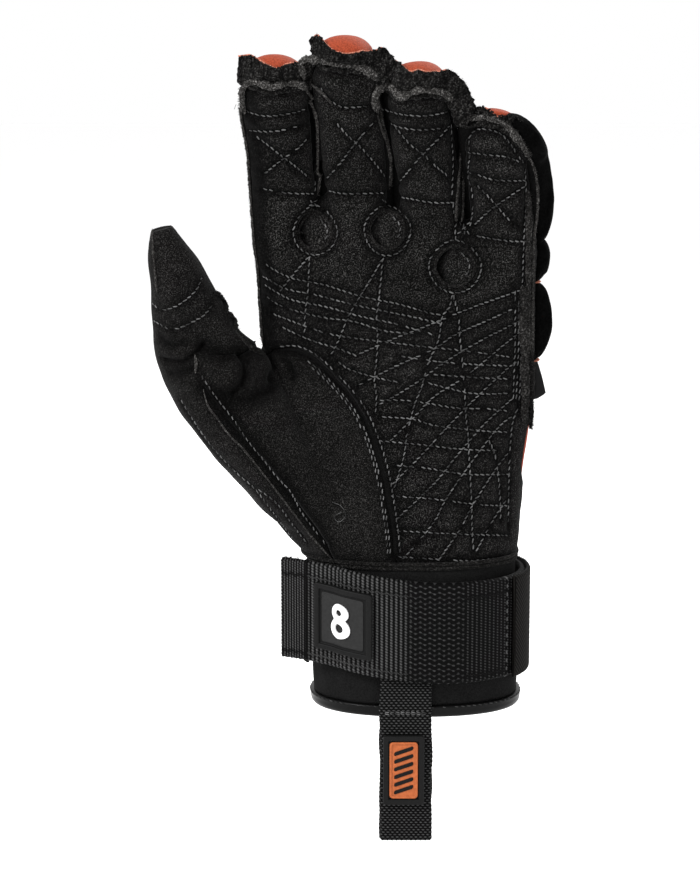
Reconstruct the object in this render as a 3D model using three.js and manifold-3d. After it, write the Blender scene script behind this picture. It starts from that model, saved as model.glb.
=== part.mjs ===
// Left-hand water ski glove, in millimetres.
// +Z runs up along the fingers, -Y is the palm side and +X the little-finger side.
// The origin is the centre of the wrist opening, on the lower rim of the cuff.
import * as THREE from "three";
import { mergeVertices } from "three/addons/utils/BufferGeometryUtils.js";
import Module from "manifold-3d";

const wasm = await Module();
wasm.setup();

// Cloth, gaps between pieces, and the sections' number of sides and roundness
const WALL = 2;
const GAP = 0.3;
const HALF_GAP = GAP / 2;
const BODY_SIDES = 22;
const FINGER_SIDES = 12;
const ROUNDNESS = 2.3;

// Height of the cuff's rim in the tables below
const RIM = -1.5;

// Far enough to reach past the glove on every side
const FAR = 200;
const ABOVE = 280;

// Cuff
const BINDING_HEIGHT = 4.4;
const BINDING_PROUD = 1.1;
const CUFF_TOP = 54;

// Wrist strap, a 38 mm webbing, and the pull tab, a 19 mm one
const STRAP_HEIGHT = 37.6;
const STRAP_THICKNESS = 2.2;
const STRAP_CLEARANCE = 3.4;
const STRAP_SNUG = 0.9;
const STRAP_END = { x: -49, y: -13.6 };
const STRAP_FROM = 226;
const STRAP_TO = 548;
const STRAP_TURN = 14;
const STRAP_MIDDLE = 31;
const STRAP_END_RISE = 6;
const STRAP_BACK_RISE = 1.2;
const SIDE_BAND_THICKNESS = 1.5;
const SIDE_BAND_HEIGHT = 40;
const SIDE_BAND_FROM = 0.385;
const SIDE_BAND_TO = 0.5;
const TAB_WIDTH = 19;
const TAB_THICKNESS = 1.6;
const TAB_CENTRE_X = -4;
const TAB_BOTTOM = -48;
const TAB_FRONT_Y = -30.2;
const TAB_BACK_Y = -27.4;
const TAB_FOLD = 2.6;

// Labels
const PATCH_PLACE = 25.6;
const PATCH_WIDTH = 22.5;
const PATCH_HEIGHT = 24.5;
const PATCH_THICKNESS = 2;
const PATCH_RIM = 2;
const PATCH_SUNK = 0.9;
const FIGURE_HEIGHT = 12.6;
const FIGURE_RAISED = 0.6;
const LABEL_WIDTH = 15;
const LABEL_HEIGHT = 26;
const LABEL_THICKNESS = 1.9;
const LABEL_RIM = 2;
const LABEL_X = -4.8;
const LABEL_Z = -19.8;
const PLATE_BACK = 0.8;
const PLATE_FRONT = 1.7;

// Turns rows of numbers into objects with the named columns.
function table(columns, rows) {
  return rows.map((row) =>
    Object.fromEntries(columns.map((name, i) => [name, row[i]])),
  );
}

// Sections of the hand from the rim of the cuff to the roots of the fingers.
// slope is how much a section drops towards the little finger.
const HAND = table(
  ["z", "left", "right", "front", "back", "slope"],
  [
    [RIM, -38, 38.4, -26.5, 26.5, 0],
    [30, -39, 38, -27, 26.5, 0],
    [54, -40, 37.2, -26.5, 24, 0],
    [61, -47, 37.6, -25.5, 22.5, 0],
    [72, -55, 38.4, -24, 20.5, 0],
    [90, -61, 39.8, -22, 19.5, 0],
    [112, -61.5, 42.6, -20.5, 19, 0],
    [129, -57.2, 43.2, -19.5, 18.5, 0],
    [148, -57.4, 43.2, -18.5, 17.5, -0.05],
    [173, -59.4, 43.4, -16, 15.5, -0.12],
    [183.5, -59.8, 43, -11, 10.5, -0.17],
  ],
);

// Sections of the thumb, leaning to the left by lean degrees.
const THUMB = table(
  ["x", "y", "z", "lean", "width", "depth"],
  [
    [-22, -4, 66, 50, 15, 16],
    [-45, -9, 84, 45, 15.6, 17.6],
    [-61, -12, 104, 40, 15.6, 16.6],
    [-74, -14, 122, 32, 16, 15],
    [-80, -15, 136, 18, 15.5, 13.5],
    [-84, -16, 148, 12, 13, 12],
    [-87.4, -17, 159, 12, 10.2, 10.5],
    [-91.2, -18, 170, 14, 7, 8],
    [-93, -18.5, 176.8, 14, 3.7, 4.6],
  ],
);

// Fingers: the root, the way they curl towards the palm, and their section.
// drift is how far the tip stands to the right of the root, edge is where the
// raw edge crosses the front, measured back from the tip.
const FINGERS = table(
  [
    "name", "x", "z", "length", "curl", "drift", "rootWidth", "tipWidth",
    "rootDepth", "tipDepth", "edge",
  ],
  [
    ["index", -47.6, 150, 90, 35, -3.6, 12.2, 12, 12.5, 10.4, 4.6],
    ["middle", -22, 150, 96.5, 34, -4.6, 11.6, 12, 13, 10.8, 4.6],
    ["ring", 4.6, 150, 87.5, 35, -5.4, 11.4, 11.8, 12.5, 10.4, 4.6],
    ["little", 31, 142, 79, 33, -4.6, 11.8, 11.6, 12, 9.8, 4],
  ],
);
const FINGER_STEPS = 5;
const TIP_STEPS = 3;
const TIP_ROUNDING = 12;
const ROOT_SHARE = 0.76;

// Seams on the palm side, as x and z seen from the front
const PALM_SEAM = table(
  ["x", "z"],
  [
    [-55.6, 131.4], [-41.3, 129.3], [-31.9, 124.2], [-22.2, 109.6],
    [-17.2, 99], [-13.5, 85.4], [-9.9, 74], [-7.4, 40],
  ],
);
const THUMB_SEAM = table(
  ["x", "z"],
  [
    [-58, 134], [-79.6, 132.2], [-78.6, 124.6], [-66.6, 107.5],
    [-52.6, 90.9], [-42.9, 77.3], [-33.1, 62.5], [-24, 40],
  ],
);
const CROTCH = { x: -55.6, z: 131.4 };
const THUMB_FOOT_X = -34;

// Depth of the seams: the edge of the palm and the edge of the back along the
// hand, which meet on the little-finger side, and the split of the thumb
const PALM_EDGE = table(
  ["x", "y"],
  [
    [-140, -3],
    [-60, -3],
    [45, -5],
    [90, -5],
  ],
);
const BACK_EDGE = table(
  ["x", "y"],
  [
    [-140, 4],
    [-50, 4],
    [36, -5],
    [90, -5],
  ],
);
const THUMB_SPLIT = table(
  ["x", "y"],
  [
    [-140, -19],
    [-97, -18.5],
    [-84, -16],
    [-68, -12],
    [-44, -6],
    [-30, -3],
    [0, -3],
  ],
);
const FRONT_SEAM_DEPTH = 0.35;
const BACK_SEAM_DEPTH = 0.3;
const FRONT_FROM = 0.2;
const BACK_FROM = 0.25;

// How far the boxes that cut a finger reach past its sides and its tip
const SIDE_REACH = 1.6;
const TIP_REACH = 9;

// The fingers part above WEB_LOW, where the hand's seams pass to the fingers'
const WEB_LOW = 171;
const PALM_TOP = WEB_LOW + 10;
const BACK_TOP = WEB_LOW + 9;

// Left of the thumb's seams, all the way round the thumb
const FAR_LEFT = table(
  ["x", "z"],
  [[-64, 143], [-66, 200], [-140, 200], [-140, 40]],
);

// Keyholes in the palm between the fingers
const KEYHOLES = table(
  ["name", "x", "z"],
  [
    ["index_middle", -36.2, 175.6],
    ["middle_ring", -10.4, 176.2],
    ["ring_little", 13.6, 162.6],
  ],
);
const KEYHOLE_RADIUS = 6;
const KEYHOLE_SUNK = 0.8;
const KEYHOLE_BACK = -9.5;

// Raw edge round the front of each finger: an arch with two legs
const RAW_EDGE_HEIGHT = 2.2;
const RAW_EDGE_WIDTH = 2.4;
const RAW_EDGE_ARCH = 9;
const RAW_EDGE_LEG = 10;

// Notched flaps on the finger tips: places across the finger and heights above
// its tip, from left to right
const FLAPS = table(
  ["name", "left", "notch", "right", "leftTop", "notchTop", "rightTop", "rightLow"],
  [
    ["index", -12.6, 1.5, 10.8, 1.2, -2.8, -1, -3],
    ["middle", -11.5, -0.2, 17.6, 2.4, -4.4, -2, -7],
    ["ring", -12, -2.9, 18.5, 1.6, -2, -0.8, -9],
    ["little", -8.5, 1.1, 12.5, 1, -1.3, -0.6, -4],
  ],
);
const FLAP_ROOT = 9;
const FLAP_THICKNESS = 1.8;
const FLAP_FORWARD = 2;
const FLAP_SHOULDER = 0.72;
const FLAP_CORNER = 2.6;

// The space in front of a finger that its flap leaves to the raw edge
const FLAP_FREE = { length: 30, front: -60, back: 20 };

// Pads on the little-finger side, and the rubber bar across the back
const PADS = table(
  ["name", "low", "high", "swell"],
  [
    ["side_pad_lower", 127.8, 155.6, 7.4],
    ["side_pad_middle", 156.4, 172.6, 6.2],
  ],
);
const PAD_LEFT = 20;
const PAD_FRONT = -3.5;
const PAD_EDGE = 0.8;
const UPPER_PAD = { low: 0.36, high: 0.99, swell: 8.6, left: 2, front: -2.5 };
const BAR = table(
  ["z", "proud"],
  [
    [112.6, 2.4],
    [114.6, 5.4],
    [121, 3.6],
    [127, 1.6],
  ],
);
const BAR_LEFT = -28;
const BAR_FRONT = -1.5;

const degrees = THREE.MathUtils.degToRad;
const smooth = THREE.MathUtils.smoothstep;

// A closed ring in the plane of u and v: half widths along u and v, each side
// of the centre its own.
function ring(centre, u, v, size, sides) {
  const points = [];
  for (let i = 0; i < sides; i++) {
    const t = (2 * Math.PI * (i + 0.5)) / sides;
    const c = Math.cos(t);
    const s = Math.sin(t);
    const across = Math.sign(c) * Math.abs(c) ** (2 / ROUNDNESS);
    const along = Math.sign(s) * Math.abs(s) ** (2 / ROUNDNESS);
    points.push(
      centre
        .clone()
        .addScaledVector(u, across * (c < 0 ? size.left : size.right))
        .addScaledVector(v, along * (s < 0 ? size.front : size.back)),
    );
  }
  return points;
}

// A closed geometry through rings with the same number of points, its ends
// closed by fans from their middles.
function loft(rings) {
  const sides = rings[0].length;
  const positions = [];
  const add = (...points) => points.forEach((p) => positions.push(p.x, p.y, p.z));
  for (let k = 0; k + 1 < rings.length; k++) {
    for (let i = 0; i < sides; i++) {
      const j = (i + 1) % sides;
      add(rings[k][i], rings[k][j], rings[k + 1][j]);
      add(rings[k][i], rings[k + 1][j], rings[k + 1][i]);
    }
  }
  const first = rings[0];
  const last = rings[rings.length - 1];
  const lowMiddle = middle(first);
  const highMiddle = middle(last);
  for (let i = 0; i < sides; i++) {
    const j = (i + 1) % sides;
    add(lowMiddle, first[j], first[i]);
    add(highMiddle, last[i], last[j]);
  }
  const geometry = new THREE.BufferGeometry();
  geometry.setAttribute("position", new THREE.Float32BufferAttribute(positions, 3));
  return geometry;
}

function middle(points) {
  const sum = points.reduce((a, p) => a.add(p), new THREE.Vector3());
  return sum.divideScalar(points.length);
}

// A three.js geometry as a solid that can be joined and cut.
function solid(geometry) {
  const bare = new THREE.BufferGeometry();
  bare.setAttribute("position", geometry.getAttribute("position"));
  bare.setIndex(geometry.getIndex());
  const merged = mergeVertices(bare, 1e-4);
  const vertProperties = merged.attributes.position.array;
  const triVerts = new Uint32Array(merged.index.array);
  const made = new wasm.Manifold(
    new wasm.Mesh({ numProp: 3, vertProperties, triVerts }),
  );
  if (made.volume() > 0) return made;
  // Sections that ran the other way round: turn the faces outwards.
  return new wasm.Manifold(
    new wasm.Mesh({ numProp: 3, vertProperties, triVerts: triVerts.reverse() }),
  );
}

function union(solids) {
  return solids.reduce((a, b) => a.add(b));
}

// The largest body of a solid, without crumbs left by a cut.
function largest(made) {
  return made.decompose().sort((a, b) => b.volume() - a.volume())[0];
}

// A prism of an outline in x and z, between two depths.
function frontPrism(outline, near, far) {
  const shape = new THREE.Shape(outline.map((p) => new THREE.Vector2(p.x, p.z)));
  const geometry = new THREE.ExtrudeGeometry(shape, {
    depth: far - near,
    bevelEnabled: false,
  });
  // The outline's second axis turns up to Z, and the depth runs along -Y.
  geometry.rotateX(Math.PI / 2);
  geometry.translate(0, far, 0);
  return solid(geometry);
}

// A prism of an outline in x and y, between two heights.
function upright(outline, low, high) {
  const shape = new THREE.Shape(outline.map((p) => new THREE.Vector2(p.x, p.y)));
  const geometry = new THREE.ExtrudeGeometry(shape, {
    depth: high - low,
    bevelEnabled: false,
  });
  geometry.translate(0, 0, low);
  return solid(geometry);
}

function slab(low, high) {
  return upright(
    [
      { x: -FAR, y: -FAR },
      { x: FAR, y: -FAR },
      { x: FAR, y: FAR },
      { x: -FAR, y: FAR },
    ],
    low,
    high,
  );
}

// The hand's section at a height, by the table's rows.
function handRow(z) {
  const rows = HAND;
  const last = rows[rows.length - 1];
  if (z <= rows[0].z) return { ...rows[0], z };
  if (z >= last.z) return { ...last, z };
  const k = rows.findIndex((row) => row.z > z) - 1;
  const t = (z - rows[k].z) / (rows[k + 1].z - rows[k].z);
  const row = {};
  for (const name of Object.keys(rows[k]))
    row[name] = THREE.MathUtils.lerp(rows[k][name], rows[k + 1][name], t);
  return row;
}

function handRing(row, outset, drop = 0) {
  const centre = new THREE.Vector3((row.left + row.right) / 2, 0, row.z - drop);
  const half = (row.right - row.left) / 2 + outset;
  return ring(
    centre,
    new THREE.Vector3(1, 0, row.slope),
    new THREE.Vector3(0, 1, 0),
    { left: half, right: half, front: outset - row.front, back: row.back + outset },
    BODY_SIDES,
  );
}

// The hand without fingers, its surface moved out by outset. The inside of the
// glove runs out through the wrist.
function handForm(outset) {
  const rings = HAND.map((row, i) =>
    handRing(row, outset, i === HAND.length - 1 ? -outset : 0),
  );
  if (outset < 0) rings.unshift(handRing({ ...HAND[0], z: RIM - 2 * WALL }, outset));
  return solid(loft(rings));
}

function thumbForm(outset) {
  const rings = THUMB.map((row, i) => {
    const lean = degrees(row.lean);
    const u = new THREE.Vector3(Math.cos(lean), 0, Math.sin(lean));
    const along = new THREE.Vector3(-Math.sin(lean), 0, Math.cos(lean));
    const centre = new THREE.Vector3(row.x, row.y, row.z);
    if (i === THUMB.length - 1) centre.addScaledVector(along, outset);
    const size = {
      left: row.width + outset,
      right: row.width + outset,
      front: row.depth + outset,
      back: row.depth + outset,
    };
    return ring(centre, u, new THREE.Vector3(0, 1, 0), size, FINGER_SIDES);
  });
  return solid(loft(rings));
}

// A finger's centre line: where it is, and which way the back of the finger
// faces, at a distance from its root.
function fingerFrame(finger, distance) {
  const lean = (s) => degrees(finger.curl) * s ** 1.2;
  const steps = 40;
  const centre = new THREE.Vector3(finger.x, -1, finger.z);
  const reach = Math.min(distance, finger.length);
  const step = reach / steps;
  for (let i = 0; i < steps; i++) {
    const angle = lean(((i + 0.5) * step) / finger.length);
    centre.y -= Math.sin(angle) * step;
    centre.z += Math.cos(angle) * step;
  }
  const share = reach / finger.length;
  const angle = lean(share);
  centre.x += finger.drift * smooth(share, 0.35, 1);
  const along = new THREE.Vector3(0, -Math.sin(angle), Math.cos(angle));
  centre.addScaledVector(along, distance - reach);
  return {
    centre,
    along,
    across: new THREE.Vector3(1, 0, 0),
    dorsal: new THREE.Vector3(0, Math.cos(angle), Math.sin(angle)),
    width:
      THREE.MathUtils.lerp(finger.rootWidth, finger.tipWidth, share) *
      THREE.MathUtils.lerp(ROOT_SHARE, 1, smooth(share, 0, 0.3)),
    depth: THREE.MathUtils.lerp(finger.rootDepth, finger.tipDepth, share),
  };
}

// How far the finger's section is drawn in by the round of its tip.
function tipScale(finger, distance) {
  const left = finger.length - distance;
  if (left >= TIP_ROUNDING) return 1;
  return Math.sqrt(Math.max(0, 1 - (1 - left / TIP_ROUNDING) ** 2));
}

function fingerRing(finger, distance, outset, scale = 1, shift = 0) {
  const frame = fingerFrame(finger, distance);
  const width = frame.width * scale + outset;
  const depth = frame.depth * scale + outset;
  const centre = frame.centre.clone().addScaledVector(frame.along, shift);
  return ring(
    centre,
    frame.across,
    frame.dorsal,
    { left: width, right: width, front: depth, back: depth },
    FINGER_SIDES,
  );
}

function fingerForm(finger, outset) {
  const rings = [];
  const straight = finger.length - TIP_ROUNDING;
  for (let i = 0; i <= FINGER_STEPS; i++)
    rings.push(fingerRing(finger, (straight * i) / FINGER_STEPS, outset));
  for (let i = 1; i <= TIP_STEPS; i++) {
    const turn = (0.5 * Math.PI * i) / (TIP_STEPS + 0.45);
    const distance = straight + TIP_ROUNDING * Math.sin(turn);
    rings.push(
      fingerRing(finger, distance, outset, Math.cos(turn), outset * Math.sin(turn)),
    );
  }
  return solid(loft(rings));
}

// A box that follows a finger, between two places across it and two depths
// given as shares of its half depth.
function fingerBox(finger, from, to, left, right, low, high) {
  const rings = [];
  const steps = 5;
  for (let i = 0; i <= steps; i++) {
    const frame = fingerFrame(finger, THREE.MathUtils.lerp(from, to, i / steps));
    const corner = (x, depth) =>
      frame.centre
        .clone()
        .addScaledVector(frame.across, x)
        .addScaledVector(frame.dorsal, depth);
    const near = low(frame);
    const far = high(frame);
    rings.push([
      corner(left, near),
      corner(right, near),
      corner(right, far),
      corner(left, far),
    ]);
  }
  return solid(loft(rings));
}

// The whole glove's outer form, its surface moved out by outset.
function gloveForm(outset) {
  return union([
    handForm(outset),
    thumbForm(outset),
    ...FINGERS.map((finger) => fingerForm(finger, outset)),
  ]);
}

// A band of sections that stand on a path in x and y. place gives a point of
// the path and its outward normal at a share of its length.
function band(place, from, to, steps, section) {
  const rings = [];
  for (let i = 0; i <= steps; i++) {
    const share = THREE.MathUtils.lerp(from, to, i / steps);
    const { point, normal } = place(share);
    rings.push(
      section(share).map(([out, z]) =>
        new THREE.Vector3(point.x, point.y, 0)
          .addScaledVector(normal, out)
          .setZ(z),
      ),
    );
  }
  return solid(loft(rings));
}

const outer = gloveForm(0);
const clear = gloveForm(GAP);
const shell = outer.subtract(gloveForm(-WALL));
const glove = shell.intersect(slab(CUFF_TOP + GAP, ABOVE));

// Regions of the front, the back and the thumb
function depthOutline(line, offset, farY) {
  const edge = line.map((p) => ({ x: p.x, y: p.y + offset }));
  const first = line[0].x;
  const last = line[line.length - 1].x;
  return farY < 0
    ? [{ x: first, y: farY }, { x: last, y: farY }, ...edge.reverse()]
    : [...edge, { x: last, y: farY }, { x: first, y: farY }];
}

function frontRegion(grow) {
  const parts = [upright(depthOutline(PALM_EDGE, grow, -FAR), 0, PALM_TOP)];
  for (const finger of FINGERS)
    parts.push(
      fingerBox(
        finger,
        finger.length * FRONT_FROM,
        finger.length - finger.edge + grow,
        -finger.rootWidth - SIDE_REACH,
        finger.rootWidth + SIDE_REACH,
        (frame) => -3 * frame.depth,
        (frame) => -FRONT_SEAM_DEPTH * frame.depth + grow,
      ),
    );
  return union(parts);
}

function backRegion(grow) {
  const parts = [
    upright(depthOutline(BACK_EDGE, -grow, FAR), 0, WEB_LOW),
    upright(rightBehind(-FAR, BACK_EDGE[0].y - grow), WEB_LOW - 1, BACK_TOP),
  ];
  for (const finger of FINGERS)
    parts.push(
      fingerBox(
        finger,
        finger.length * BACK_FROM,
        finger.length + TIP_REACH,
        -finger.rootWidth - SIDE_REACH,
        finger.rootWidth + SIDE_REACH,
        (frame) => BACK_SEAM_DEPTH * frame.depth - grow,
        (frame) => 3 * frame.depth,
      ),
    );
  return union(parts);
}

// Outline in x and y of all that lies right of x and behind y.
function rightBehind(x, y) {
  return [
    { x, y },
    { x: FAR, y },
    { x: FAR, y: FAR },
    { x, y: FAR },
  ];
}

function thumbSide(grow) {
  const seam = PALM_SEAM.map((p) => ({ x: p.x + grow, z: p.z + grow }));
  const front = frontPrism([...FAR_LEFT, ...seam.reverse()], -FAR, 0);
  return front.intersect(upright(depthOutline(THUMB_SPLIT, grow, -FAR), 0, ABOVE));
}

function thumbBackSide(grow) {
  const outline = [
    { x: CROTCH.x + grow, z: CROTCH.z + grow },
    ...FAR_LEFT,
    { x: THUMB_FOOT_X + grow, z: FAR_LEFT[FAR_LEFT.length - 1].z },
  ];
  const back = frontPrism(outline, -FAR, FAR);
  return back.intersect(upright(depthOutline(THUMB_SPLIT, -grow, FAR), 0, ABOVE));
}

function thenarSide(grow) {
  const seam = THUMB_SEAM.map((p) => ({ x: p.x - grow, z: p.z + grow }));
  const low = seam[seam.length - 1].z;
  return frontPrism([{ x: 0, z: low }, { x: 0, z: seam[0].z }, ...seam], -FAR, 20);
}

// Nodes: name, solid and material
const MATERIALS = {
  suede: { color: 0x1d1c1c, roughness: 0.95, metalness: 0 },
  neoprene: { color: 0x161616, roughness: 0.8, metalness: 0 },
  binding: { color: 0x0c0c0c, roughness: 0.3, metalness: 0 },
  orange: { color: 0xb6452a, roughness: 0.7, metalness: 0 },
  gusset: { color: 0x131313, roughness: 0.85, metalness: 0 },
  rawEdge: { color: 0x4a4845, roughness: 1, metalness: 0 },
  webbing: { color: 0x202020, roughness: 0.8, metalness: 0 },
  rubber: { color: 0x1a1a1c, roughness: 0.5, metalness: 0 },
  white: { color: 0xf2f2f2, roughness: 0.6, metalness: 0 },
  label: { color: 0xd8743c, roughness: 0.6, metalness: 0 },
};

// The tables' heights put the rim at RIM, and the group lifts it to the origin.
const group = new THREE.Group();
group.position.z = -RIM;

function addNode(name, made, material) {
  const mesh = made.getMesh();
  const geometry = new THREE.BufferGeometry();
  geometry.setAttribute(
    "position",
    new THREE.BufferAttribute(mesh.vertProperties, 3),
  );
  geometry.setIndex(new THREE.BufferAttribute(mesh.triVerts, 1));
  geometry.computeVertexNormals();
  const node = new THREE.Mesh(
    geometry,
    new THREE.MeshStandardMaterial(MATERIALS[material]),
  );
  node.name = name;
  group.add(node);
}

// Cuff: a neoprene sleeve and the binding round its rim
function makeCuff() {
  const sleeve = shell.intersect(slab(RIM + BINDING_HEIGHT + GAP, CUFF_TOP));
  addNode("neoprene_cuff", sleeve, "neoprene");
  const rim = (outset, low, high) =>
    solid(
      loft([
        handRing({ ...handRow(RIM), z: low }, outset),
        handRing({ ...handRow(RIM + BINDING_HEIGHT), z: high }, outset),
      ]),
    );
  const binding = rim(BINDING_PROUD, RIM, RIM + BINDING_HEIGHT).subtract(
    rim(-WALL - BINDING_PROUD, RIM - 1, RIM + BINDING_HEIGHT + 1),
  );
  addNode("cuff_binding", binding, "binding");
}

// Soft panels of the hand
function makePanels() {
  const palm = glove
    .intersect(frontRegion(-HALF_GAP))
    .subtract(thumbSide(HALF_GAP))
    .subtract(thumbBackSide(HALF_GAP))
    .subtract(allKeyholes());
  addNode("palm_panel", largest(palm), "suede");

  const thumbFront = glove.intersect(thumbSide(-HALF_GAP));
  addNode(
    "thenar_panel",
    largest(thumbFront.intersect(thenarSide(-HALF_GAP))),
    "suede",
  );
  addNode(
    "thumb_panel",
    largest(thumbFront.subtract(thenarSide(HALF_GAP))),
    "suede",
  );
  addNode(
    "thumb_back_panel",
    largest(glove.intersect(thumbBackSide(-HALF_GAP))),
    "gusset",
  );

  const back = glove
    .intersect(backRegion(-HALF_GAP))
    .subtract(thumbBackSide(HALF_GAP))
    .subtract(thumbSide(HALF_GAP));
  addNode("back_panel", largest(back), "orange");
}

// Crumbs of the cuts are smaller than this, and the side walls are larger.
const SMALLEST_WALL = 60;

// Black side walls of the fingers, parted at the middle of each tip
function makeGussets() {
  const walls = glove
    .subtract(frontRegion(HALF_GAP))
    .subtract(backRegion(HALF_GAP))
    .subtract(thumbSide(HALF_GAP))
    .subtract(thumbBackSide(HALF_GAP))
    .subtract(allKeyholes());
  const names = [
    "index_outer_gusset",
    "index_middle_gusset",
    "middle_ring_gusset",
    "ring_little_gusset",
    "little_outer_gusset",
  ];
  const splits = FINGERS.map((finger) =>
    fingerBox(
      finger, 0, finger.length + TIP_REACH, -HALF_GAP, HALF_GAP, () => -FAR, () => FAR,
    ),
  );
  const bodies = walls.subtract(union(splits)).decompose();
  const places = bodies
    .filter((body) => body.volume() > SMALLEST_WALL)
    .sort((a, b) => middleX(a) - middleX(b));
  if (places.length !== names.length)
    throw new Error("the side walls fell into " + places.length + " bodies");
  places.forEach((body, i) => addNode(names[i], body, "gusset"));
}

function middleX(body) {
  const box = body.boundingBox();
  return (box.min[0] + box.max[0]) / 2;
}

function keyholeDrill(hole, radius, back = -2) {
  const length = FAR + back;
  const drill = new THREE.CylinderGeometry(radius, radius, length, FINGER_SIDES);
  drill.translate(hole.x, back - length / 2, hole.z);
  return solid(drill);
}

function allKeyholes() {
  return union(KEYHOLES.map((hole) => keyholeDrill(hole, KEYHOLE_RADIUS)));
}

// Inserts that fill the keyholes, a little lower than the palm
function makeKeyholes() {
  const sunk = gloveForm(-KEYHOLE_SUNK).subtract(gloveForm(-WALL));
  for (const hole of KEYHOLES) {
    const insert = sunk.intersect(keyholeDrill(hole, KEYHOLE_RADIUS - GAP, KEYHOLE_BACK));
    addNode(hole.name + "_keyhole", largest(insert), "gusset");
  }
}

// Raw edge that stands up round the front of each finger
function makeRawEdges() {
  for (const finger of FINGERS) {
    const rings = [];
    const top = finger.length - finger.edge;
    const steps = 10;
    for (let i = 0; i <= steps; i++) {
      const share = i / steps;
      const turn = Math.PI * (1 - share);
      const rise = RAW_EDGE_ARCH * (Math.sin(turn) - 1);
      const down = RAW_EDGE_LEG * Math.max(0, Math.cos(turn)) ** 3;
      const frame = fingerFrame(finger, top + rise - down);
      const scale = tipScale(finger, top + rise - down);
      const x = Math.cos(turn) * (frame.width * scale - 0.5);
      const inside = Math.min(1, Math.abs(x) / (frame.width * scale));
      const bulge = (1 - inside ** ROUNDNESS) ** (1 / ROUNDNESS);
      const depth = -Math.max(bulge, 0.5) * frame.depth * scale;
      const out = new THREE.Vector3()
        .addScaledVector(frame.across, 0.8 * Math.cos(turn) * (1 - bulge))
        .addScaledVector(frame.dorsal, -1)
        .normalize();
      const outwards = new THREE.Vector3()
        .addScaledVector(frame.across, Math.cos(turn))
        .addScaledVector(frame.along, Math.sin(turn))
        .normalize();
      const foot = frame.centre
        .clone()
        .addScaledVector(frame.across, x)
        .addScaledVector(frame.dorsal, depth);
      const corner = (side, height) =>
        foot
          .clone()
          .addScaledVector(outwards, (side * RAW_EDGE_WIDTH) / 2)
          .addScaledVector(out, height);
      rings.push([
        corner(-1, -1),
        corner(-1, RAW_EDGE_HEIGHT),
        corner(1, RAW_EDGE_HEIGHT),
        corner(1, -1),
      ]);
    }
    const edge = solid(loft(rings)).intersect(fingerShare(finger)).subtract(clear);
    addNode(finger.name + "_raw_edge", largest(edge), "rawEdge");
  }
}

// The space round a finger tip, half way to the tips beside it.
function fingerShare(finger) {
  const tipX = (f) => fingerFrame(f, f.length).centre.x;
  const k = FINGERS.indexOf(finger);
  const halfWay = (a, b) => (tipX(a) + tipX(b)) / 2;
  const left = k > 0 ? halfWay(FINGERS[k - 1], finger) + HALF_GAP : -FAR;
  const right =
    k + 1 < FINGERS.length ? halfWay(finger, FINGERS[k + 1]) - HALF_GAP : FAR;
  return frontPrism(
    [
      { x: left, z: WEB_LOW },
      { x: right, z: WEB_LOW },
      { x: right, z: ABOVE },
      { x: left, z: ABOVE },
    ],
    -FAR,
    FAR,
  );
}

// Notched flaps that stand on the finger tips
function makeFlaps() {
  for (const flap of FLAPS) {
    const finger = FINGERS.find((f) => f.name === flap.name);
    const frame = fingerFrame(finger, finger.length);
    const outline = [
      { x: flap.left, z: -FLAP_ROOT },
      { x: flap.right, z: -FLAP_ROOT },
      { x: flap.right, z: flap.rightLow },
      { x: flap.right * FLAP_SHOULDER, z: flap.rightTop },
      { x: flap.notch, z: flap.notchTop },
      { x: flap.left * FLAP_SHOULDER, z: flap.leftTop },
      { x: flap.left, z: flap.leftTop - FLAP_CORNER },
    ];
    const made = frontPrism(
      outline.map((p) => ({
        x: p.x + frame.centre.x,
        z: p.z + frame.centre.z,
      })),
      frame.centre.y - FLAP_THICKNESS - FLAP_FORWARD,
      frame.centre.y - FLAP_FORWARD,
    );
    const edge = finger.length - finger.edge;
    const below = fingerBox(
      finger, edge - FLAP_FREE.length, edge + RAW_EDGE_HEIGHT, -FAR, FAR,
      () => FLAP_FREE.front, () => FLAP_FREE.back,
    );
    addNode(
      flap.name + "_tip_flap",
      largest(made.subtract(clear).subtract(below)),
      "gusset",
    );
  }
}

// Pads that bulge from the little-finger side and the back near it
function makePads() {
  const reach = upright(rightBehind(PAD_LEFT, PAD_FRONT), 0, ABOVE);
  const swollen = (most, share) =>
    PAD_EDGE + (most - PAD_EDGE) * Math.sin(Math.PI * share) ** 0.6;
  for (const pad of PADS) {
    const rings = [];
    const steps = 6;
    for (let i = 0; i <= steps; i++) {
      const share = i / steps;
      const z = THREE.MathUtils.lerp(pad.low, pad.high, share);
      const swell = swollen(pad.swell, share);
      rings.push(handRing({ ...handRow(z), slope: 0 }, swell));
    }
    const made = solid(loft(rings)).intersect(reach).subtract(clear);
    addNode(pad.name, largest(made), "gusset");
  }
  const finger = FINGERS[3];
  const rings = [];
  const steps = 7;
  for (let i = 0; i <= steps; i++) {
    const share = i / steps;
    const distance =
      finger.length * THREE.MathUtils.lerp(UPPER_PAD.low, UPPER_PAD.high, share);
    const swell = swollen(UPPER_PAD.swell, share);
    rings.push(fingerRing(finger, distance, swell, tipScale(finger, distance)));
  }
  const side = fingerBox(
    finger, 0, finger.length + TIP_REACH, UPPER_PAD.left, FAR,
    () => UPPER_PAD.front, () => FAR,
  );
  const above = slab(PADS[PADS.length - 1].high + GAP, ABOVE);
  const upper = solid(loft(rings)).intersect(side).intersect(above).subtract(clear);
  addNode("side_pad_upper", largest(upper), "gusset");
}

// Rubber bar across the back, thickest near its lower edge
function makeBar() {
  const rings = BAR.map((row) => handRing(handRow(row.z), row.proud));
  const reach = upright(rightBehind(BAR_LEFT, BAR_FRONT), 0, ABOVE);
  const bar = solid(loft(rings)).intersect(reach).subtract(clear);
  addNode("knuckle_bar", largest(bar), "rubber");
}

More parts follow.
